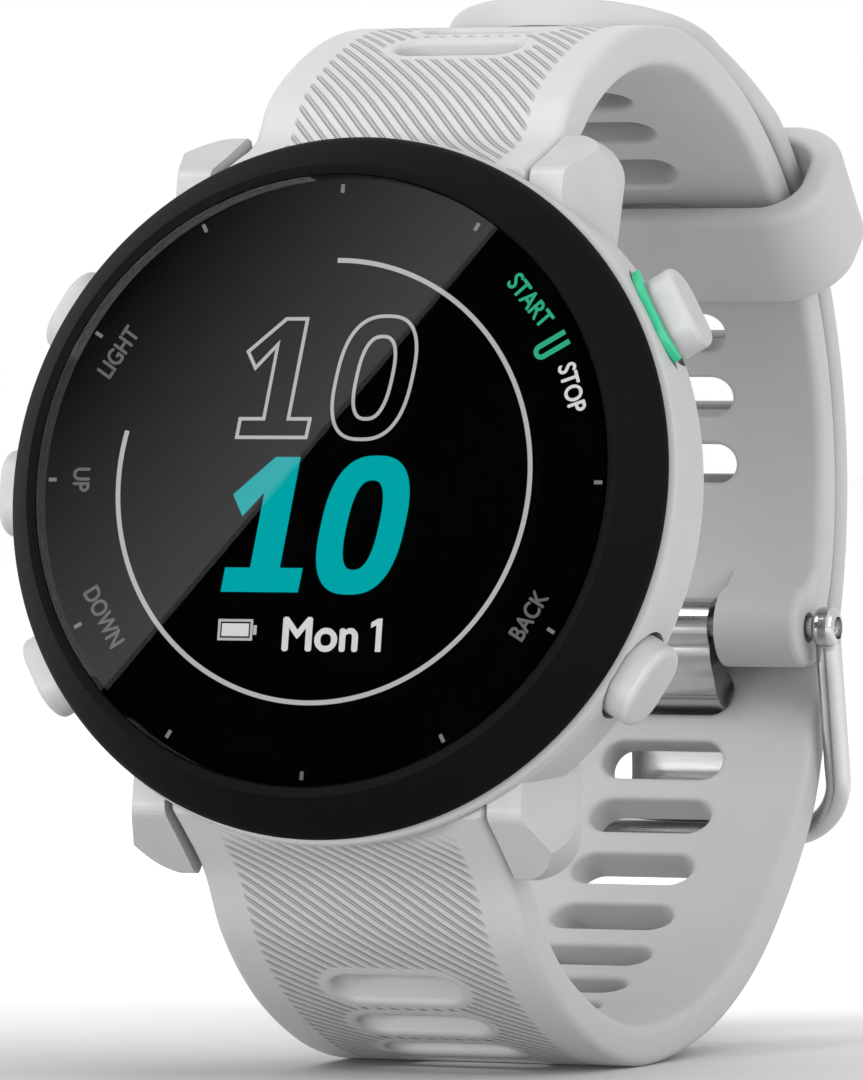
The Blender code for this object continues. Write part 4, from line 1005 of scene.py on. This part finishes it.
def stadium(half_length, half_width, count=20):
    reach = half_length - half_width
    return (arc(half_width, -90, 90, count, (reach, 0.0))
            + arc(half_width, 90, 270, count, (-reach, 0.0)))


BUTTON_HALF = 2.6
START_HALF_WIDTH = 1.6
CAP_DEPTH = 2.2
POCKET_DEPTH = 3.1
ACCENT_FROM = 1.3


def button_shape(name):
    """Half width, height and outer end of a button's cap."""
    return (START_HALF_WIDTH, 4.6, 22.95) if name == "start" else (1.9, 5.6, 22.4)


def start_half(extra, low):
    """Dial side of an outline that stands extra outside the start button's cap."""
    outline = stadium(BUTTON_HALF + extra, START_HALF_WIDTH + extra, 40)
    return [p for p in outline if p[1] > low]


def make_buttons():
    for name, angle in BUTTONS.items():
        half_width, height, top = button_shape(name)
        mesh = extrude(name + "_cap", stadium(BUTTON_HALF, half_width), top - CAP_DEPTH, top)
        cap = show(name + "_cap", mesh, "polymer", name + "_press", radial(angle, height),
                   replaces=(name + "_button",))
        soften(cap, 0.42, 4)
    outer, inner = [start_half(extra, ACCENT_FROM) for extra in (0.95, 0.3)]
    accent = show("start_band", extrude("start_band", outer + inner[::-1], 20.75, 21.35), "green",
                  "case", radial(BUTTONS["start"], button_shape("start")[1]),
                  replaces=("start_accent",))
    soften(accent, 0.12, 2)


# ------------------------------------------------------------------ case

CORNERS = ((1, 1), (-1, 1), (-1, -1), (1, -1))
LUG_INSIDE = 9.8
LUG_OUTSIDE = 13.9
LUG_CORNER = 3.3
LUG_CORNER_AT = (10.6, 18.75)
LUG_GAP = 10.2             # half the room between a pair of lugs
SCREW_CIRCLE = 13.1


def joined(parts):
    """One mesh out of meshes with their places."""
    builder = bmesh.new()
    for mesh, place in parts:
        copy = mesh.copy()
        copy.transform(place)
        builder.from_mesh(copy)
        bpy.data.meshes.remove(copy)
    return mesh_of(builder, "joined")


def make_case():
    outline = [(20.3, 8.05), (20.85, 7.75), (21.0, 7.05), (21.0, 3.9), (20.6, 2.8), (19.5, 1.95),
               (18.4, 1.7)]
    rounds = [0.0, 0.3, 0.8, 1.5, 1.2, 1.2, 0.8]
    inside = [(15.9, 1.7), (15.9, 2.7), (15.4, 2.7), (15.4, 3.4), (14.2, 3.4), (14.2, 2.7),
              (11.8, 2.7), (11.8, 3.7), (15.7, 3.7), (15.7, 8.05)]
    profile = fillet(outline + inside, rounds + [0.0] * len(inside))
    case = show("case_body", lathe("case_body", profile), "polymer", "case", HEAD, 28,
                replaces=("case_shell",))
    lug_side = [(15.1, 7.25), (19.05, 7.25), (20.3, 5.05), (22.0, 2.3), (21.95, 1.7),
                (21.25, 1.2), (19.55, 1.3), (15.1, 1.9)]
    lug_side = fillet(lug_side, [0.0, 1.0, 2.0, 0.4, 0.4, 0.4, 0.6, 0.0], 5)
    for side_x, side_y in CORNERS:
        near, far = sorted((LUG_INSIDE * side_x, LUG_OUTSIDE * side_x))
        flat = [(out * side_y, height) for out, height in lug_side]
        lug = added("lug", extrude("lug", flat, near, far, "YZX"))
        soften(lug, 0.7, 4, 50)
        settle(lug)
        plan = ([(9.2, 14.0), (LUG_OUTSIDE, 14.0)]
                + arc(LUG_CORNER, 0, 90, 16, LUG_CORNER_AT) + [(9.2, LUG_REACH)])
        plan = [(x * side_x, y * side_y) for x, y in plan]
        carve(lug, extrude("plan", plan, -0.5, 9.0), None, "INTERSECT")
        wall = [(8.2, -1.0), (LUG_OUTSIDE, -1.0), (LUG_OUTSIDE, 2.7), (12.3, 7.25), (11.3, 9.05),
                (8.2, 9.05)]
        low, high = sorted((10.3 * side_y, 23.0 * side_y))
        carve(lug, extrude("wall", [(x * side_x, z) for x, z in wall], low, high, "XZY"), None,
              "INTERSECT")
        soften(lug, 0.35, 3, 50)
        settle(lug)
        carve(case, lug.data.copy(), HEAD, "UNION")
        bpy.data.objects.remove(lug, do_unlink=True)
    cutters = []
    for side in (1, -1):
        low, high = sorted((SCALLOP_OUT * side, 25.0 * side))
        carve(case, extrude("scallop", box(-LUG_GAP, low, LUG_GAP, high), -1.0, SCALLOP_TOP), HEAD)
        hole = circle(0.7, (BAR_OUT * side, BAR_HEIGHT))
        cutters.append((extrude("bar_hole", hole, -11.6, 11.6, "YZX"), Matrix.Identity(4)))
    bores = []
    for name, angle in BUTTONS.items():
        half_width, height, top = button_shape(name)
        pocket = stadium(2.9, half_width + 0.3, 40)
        if name == "start":
            edge = ACCENT_FROM - 0.3
            half = len(pocket) // 2
            pocket = (start_half(1.05, edge)
                      + [p for p in pocket[half:] + pocket[:half] if p[1] < edge])
        place = HEAD.inverted() @ radial(angle, height)
        cutters.append((extrude("pocket", pocket, top - POCKET_DEPTH, 24.0), place))
        bores.append((extrude("bore", circle(1.2), 14.2, top - 2.1), place))
    for side_x, side_y in CORNERS:
        spot = SCREW_CIRCLE / math.sqrt(2)
        hole = circle(0.9, (spot * side_x, spot * side_y))
        cutters.append((extrude("screw_hole", hole, 1.0, 4.5), Matrix.Identity(4)))
    carve(case, joined(cutters), HEAD)
    carve(case, joined(bores), HEAD)


# ------------------------------------------------------------------ buckle


ROD_X = 11.05              # middle of a buckle arm
ROD_HALF = 0.8
ROD_CORNER = 3.3
ROD_DROP = -12.95


def rod_path():
    """Middle line of the buckle's bent rod, from one ear round the crossbar to the other."""
    side = Run([(0.1, 0.2), (0.45, -2.0), (0.95, -4.3), (1.6, -7.6), (2.1, -10.3),
                (2.3, ROD_DROP)], 1)
    bottom = ROD_DROP + ROD_CORNER
    down = [(ROD_X, z) for z in np.linspace(0.2, bottom, 26)]
    turn = arc(ROD_CORNER, 0, -90, 14, (ROD_X - ROD_CORNER, bottom))[1:]
    across = [(x, ROD_DROP) for x in np.linspace(ROD_X - ROD_CORNER, 0.0, 12)][1:]
    half = down + turn + across
    flat = half + [(-x, z) for x, z in half[-2::-1]]
    heights = side.points[::-1, 1]
    return np.array([(x, BUCKLE_Y + np.interp(z, heights, side.points[::-1, 0]), BUCKLE_Z + z)
                     for x, z in flat])


def make_buckle():
    path = rod_path()
    ahead = unit(np.gradient(path, axis=0))
    depth = unit(np.array((0.0, 1.0, 0.0)) - ahead * ahead[:, 1:2])
    wide = np.cross(depth, ahead)
    builder = bmesh.new()
    section = circle(1.0)
    rings = [[builder.verts.new((spot + w * a * ROD_HALF + d * b * ROD_HALF * 1.12) * MM)
              for a, b in section] for spot, w, d in zip(path, wide, depth)]
    for first, second in zip(rings, rings[1:]):
        for i in range(len(section)):
            j = (i + 1) % len(section)
            builder.faces.new((first[i], second[i], second[j], first[j]))
    builder.faces.new(rings[0])
    builder.faces.new(rings[-1][::-1])
    buckle = show("buckle_loop", mesh_of(builder, "buckle_loop"), "steel", "buckle",
                  replaces=("buckle_frame",), smooth=50)
    for side in (1, -1):
        middle = ROD_X * side
        ear = added("ear", pin_round("ear", 1.3, middle - 0.74, middle + 0.74, 60))
        soften(ear, 0.55, 5)
        settle(ear)
        carve(buckle, ear.data.copy(), None, "UNION")
        bpy.data.objects.remove(ear, do_unlink=True)
    carve(buckle, pin_round("holes", 0.7, -14, 14))
    soften(show("buckle_pin", pin_round("bar", 0.65, -11.4, 11.4), "pin_steel", "buckle",
                replaces=("buckle_bar",)), 0.15, 2)


def make_tongue():
    spot, inward = LONG.at(np.array([TONGUE_AT]))
    slot, outward = spot[0], -inward[0]
    onward = np.array((outward[1], -outward[0]))
    bend = slot + outward * 1.45 + onward * 1.3
    rest = np.array((BUCKLE_Y + 3.1 + 0.3 + 0.65, BUCKLE_Z - 13.8))
    axis = np.array(BUCKLE_AXIS)
    elbow = slot - outward * (STRAP_THICK + 0.6)
    run = [(axis, 1.05), (axis * 0.55 + elbow * 0.45 - outward * 0.75, 1.05),
           (elbow - outward * 0.75 - onward * 0.75, 1.05), (elbow, 1.05),
           (slot + outward * 0.2, 1.05),
           (slot + outward * 1.15 + onward * 0.35, 0.9), (bend, 0.735),
           (bend * 0.6 + rest * 0.4 + outward * 0.35, 0.65),
           (rest + (0.2, 2.0), 0.65), (rest + (0.1, -0.6), 0.455)]
    path = np.array([p for p, _ in run])
    halves = np.array([h for _, h in run])
    steps = np.concatenate([[0.0], np.cumsum(np.linalg.norm(np.diff(path, axis=0), axis=1))])
    fine = np.linspace(0.0, steps[-1], 40)
    smooth = Run([tuple(p) for p in path], 1, 0.2)
    spots, _ = smooth.at(np.linspace(0, smooth.length, 40))
    thick = np.interp(fine, steps, halves)
    ahead = unit(np.gradient(spots, axis=0))
    normal = np.column_stack([-ahead[:, 1], ahead[:, 0]]) * thick[:, None]
    outline = [tuple(p) for p in spots + normal] + [tuple(p) for p in (spots - normal)[::-1]]
    bar = extrude("tongue_bar", outline, -TONGUE_HALF, TONGUE_HALF, "YZX")
    tongue = show("tongue_bar", bar, "steel", "tongue", replaces=("tongue",), smooth=50)
    carve(tongue, pin_round("ring", 1.8, -TONGUE_HALF, TONGUE_HALF, 60), None, "UNION")
    carve(tongue, pin_round("eye", 0.8, -5, 5))
    soften(tongue, 0.45, 4, 55)


# ------------------------------------------------------------------ kept CAD pieces

KEPT_BY_LOOK = {
    "polymer": ["back_cover"], "sensor": ["sensor_window"], "guide": ["backlight_panel"],
    "rubber": ["back_gasket"], "board": ["main_board", "sensor_board"],
    "can": ["battery", "vibration_motor"],
    "gold": (["gps_antenna", "led_left", "led_right", "photodiode"]
             + ["charge_contact_%d" % i for i in range(1, 5)]),
    "pin_steel": (["upper_spring_bar", "upper_release_pin", "lower_spring_bar",
                   "lower_release_pin"] + ["back_screw_%d" % i for i in range(1, 5)]
                  + [name + "_button_clip" for name in BUTTONS]),
    "bezel": [name + "_switch" for name in BUTTONS],
}


def dress_kept():
    for look, names in KEPT_BY_LOOK.items():
        for name in names:
            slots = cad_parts[name].data.materials
            slots.clear()
            slots.append(LOOKS[look].made)


# ------------------------------------------------------------------ stage

CAMERA_AZIMUTH = math.radians(23.033)
CAMERA_ELEVATION = math.radians(1.008)
CAMERA_DISTANCE = 590.81
CAMERA_LENS = 339.86
CAMERA_SIDE, CAMERA_UP = -6.394, 3.451
DIAL_CENTRE = Vector((0.0, -10.833, 1.910))
FLOOR = -33.5


def make_camera():
    """Camera that looks at the dial; returns where it stands, in millimetres."""
    a, e = CAMERA_AZIMUTH, CAMERA_ELEVATION
    right = Vector((math.cos(a), math.sin(a), 0.0))
    back = Vector((math.sin(a) * math.cos(e), -math.cos(a) * math.cos(e), math.sin(e)))
    up = back.cross(right)
    data = bpy.data.cameras.new("photo_camera")
    data.lens = CAMERA_LENS
    data.sensor_width = 36.0
    data.clip_start = 0.01
    data.clip_end = 20.0
    camera = added("photo_camera", data)
    place = Matrix((right, up, back)).transposed().to_4x4()
    spot = DIAL_CENTRE - right * CAMERA_SIDE - up * CAMERA_UP + back * CAMERA_DISTANCE
    place.translation = spot * MM
    camera.matrix_world = place
    bpy.context.scene.camera = camera
    return spot


# name, place, aim, width and height in metres, and power in watts
LIGHTS = (
    ("key_light", (-0.45, -0.55, 0.75), (0.0, 0.01, 0.0), (0.5, 0.5), 4.5),
    ("side_light", (0.6, -0.15, 0.3), (0.0, 0.02, 0.0), (0.4, 0.5), 2.0),
    ("low_fill", (-0.1, -0.8, -0.02), (0.0, 0.0, -0.015), (0.8, 0.2), 9.5),
)


def make_light():
    scene = bpy.context.scene
    scene.world = bpy.data.worlds.new("studio")
    scene.world.use_nodes = True
    background = scene.world.node_tree.nodes["Background"]
    background.inputs["Color"].default_value = (1.0, 1.0, 1.0, 1.0)
    background.inputs["Strength"].default_value = 1.0
    for name, place, aim, size, power in LIGHTS:
        data = bpy.data.lights.new(name, "AREA")
        data.shape = "RECTANGLE"
        data.size, data.size_y = size
        data.energy = power
        lamp = added(name, data)
        lamp.location = place
        lamp.rotation_euler = (Vector(place) - Vector(aim)).to_track_quat("Z", "Y").to_euler()
    scene.view_settings.view_transform = "Standard"
    scene.view_settings.look = "None"
    scene.view_settings.exposure = 0.0


# Painted contact shadow: the floor's colour darkens towards this spot under the watch, over this
# reach, down to this colour.
PAINTED_SHADOW_CENTRE = (-0.012, 0.0, FLOOR * MM)
PAINTED_SHADOW_REACH = 0.12
FLOOR_HALF = 3.0
FLOOR_PALE = (0.97, 0.97, 0.97)
PAINTED_SHADOW_COLOUR = (0.34, 0.34, 0.34)


def make_backdrop():
    """Wide pale floor under the watch, open on every side, with a painted contact shadow that
    darkens its colour round a spot under the watch.
    """
    mesh = bpy.data.meshes.new("backdrop")
    corners = box(-FLOOR_HALF, -FLOOR_HALF, FLOOR_HALF, FLOOR_HALF)
    mesh.from_pydata([(x, y, FLOOR * MM) for x, y in corners], [], [(0, 1, 2, 3)])
    look = speckled("backdrop_paper_painted_shadow", FLOOR_PALE, 0.85, 2.0, 0.01, shade=0.01, specular=0.1)
    # Painted shadow: the distance from the spot under the watch sets how far the floor's colour is
    # darkened.
    spot = look.node("VectorMath", operation="DISTANCE")
    look.link(look.position(), spot.inputs[0])
    spot.inputs[1].default_value = PAINTED_SHADOW_CENTRE
    pale = look.ramp(spot.outputs["Value"], 0.0, 1.0, 0.0, PAINTED_SHADOW_REACH)
    look.colour(look.mix(look.maths("POWER", pale, 0.8), PAINTED_SHADOW_COLOUR, FLOOR_PALE))
    mesh.materials.append(look.made)
    added("backdrop", mesh)


CARD_DISTANCE = 500.0
CARD_REACH = 220.0
CARD_FADE = 0.12           # share of the lit flag over which it fades away from the diagonal
# points of the glass where the flags' shared edge and the lit side are seen
DIAGONAL_TOP, DIAGONAL_FOOT, LIT_SIDE = (9.9, 14.7), (-12.6, -12.3), (-12.0, 12.0)


def bounced(camera_spot, x, y):
    """Point of the glass, and the direction of the camera ray that bounces off it."""
    normal = (HEAD.to_3x3() @ Vector((0.0, 0.0, 1.0))).normalized()
    spot = HEAD @ Vector((x, y, GLASS_TOP + 0.05))
    ray = (spot - camera_spot).normalized()
    return spot, ray - 2 * ray.dot(normal) * normal


def make_reflection_card(camera_spot):
    """Two flags seen only in the glass: a lit one and a black one, meeting on a diagonal."""
    centre, facing = bounced(camera_spot, 0.0, 0.0)
    plane = centre + facing * CARD_DISTANCE

    def on_card(point):
        spot, ray = bounced(camera_spot, *point)
        return spot + ray * ((plane - spot).dot(facing) / ray.dot(facing))

    first, second, upper_left = [on_card(p) for p in (DIAGONAL_TOP, DIAGONAL_FOOT, LIT_SIDE)]
    along = (first - second).normalized()
    middle = (first + second) / 2
    across = (upper_left - middle)
    across = (across - across.dot(along) * along).normalized()
    for name, sign, strength in (("lit_flag", 1.0, 0.8), ("black_flag", -1.0, 0.0)):
        verts = [middle + along * a * CARD_REACH + across * sign * b for a, b in
                 ((-1, 0.0), (1, 0.0), (1, CARD_REACH), (-1, CARD_REACH))]
        mesh = bpy.data.meshes.new(name)
        mesh.from_pydata([v * MM for v in verts], [], [(0, 1, 2, 3)])
        layer = mesh.uv_layers.new(name="flag")
        for loop, uv in zip(layer.data, ((0, 0), (1, 0), (1, 1), (0, 1))):
            loop.uv = uv
        look = Look(name + "_card", (0.0, 0.0, 0.0), 0.9)
        look.set("Specular IOR Level", 0.0)
        if strength:
            split = look.node("SeparateXYZ")
            look.link(look.node("UVMap", uv_map="flag").outputs[0], split.inputs[0])
            fade = look.ramp(split.outputs[1], 0.95, 0.02, 0.0, CARD_FADE)
            look.link(look.maths("MULTIPLY", fade, strength),
                      look.shader.inputs["Emission Strength"])
            look.set("Emission Color", (1.0, 1.0, 1.0, 1.0))
        mesh.materials.append(look.made)
        card = added(name, mesh)
        card.visible_diffuse = False
        card.visible_shadow = False
        card.visible_camera = False


make_head()
make_dial()
make_buttons()
make_case()
make_straps()
make_knuckle()
make_keeper()
make_buckle()
make_tongue()
dress_kept()
make_backdrop()
make_reflection_card(make_camera())
make_light()
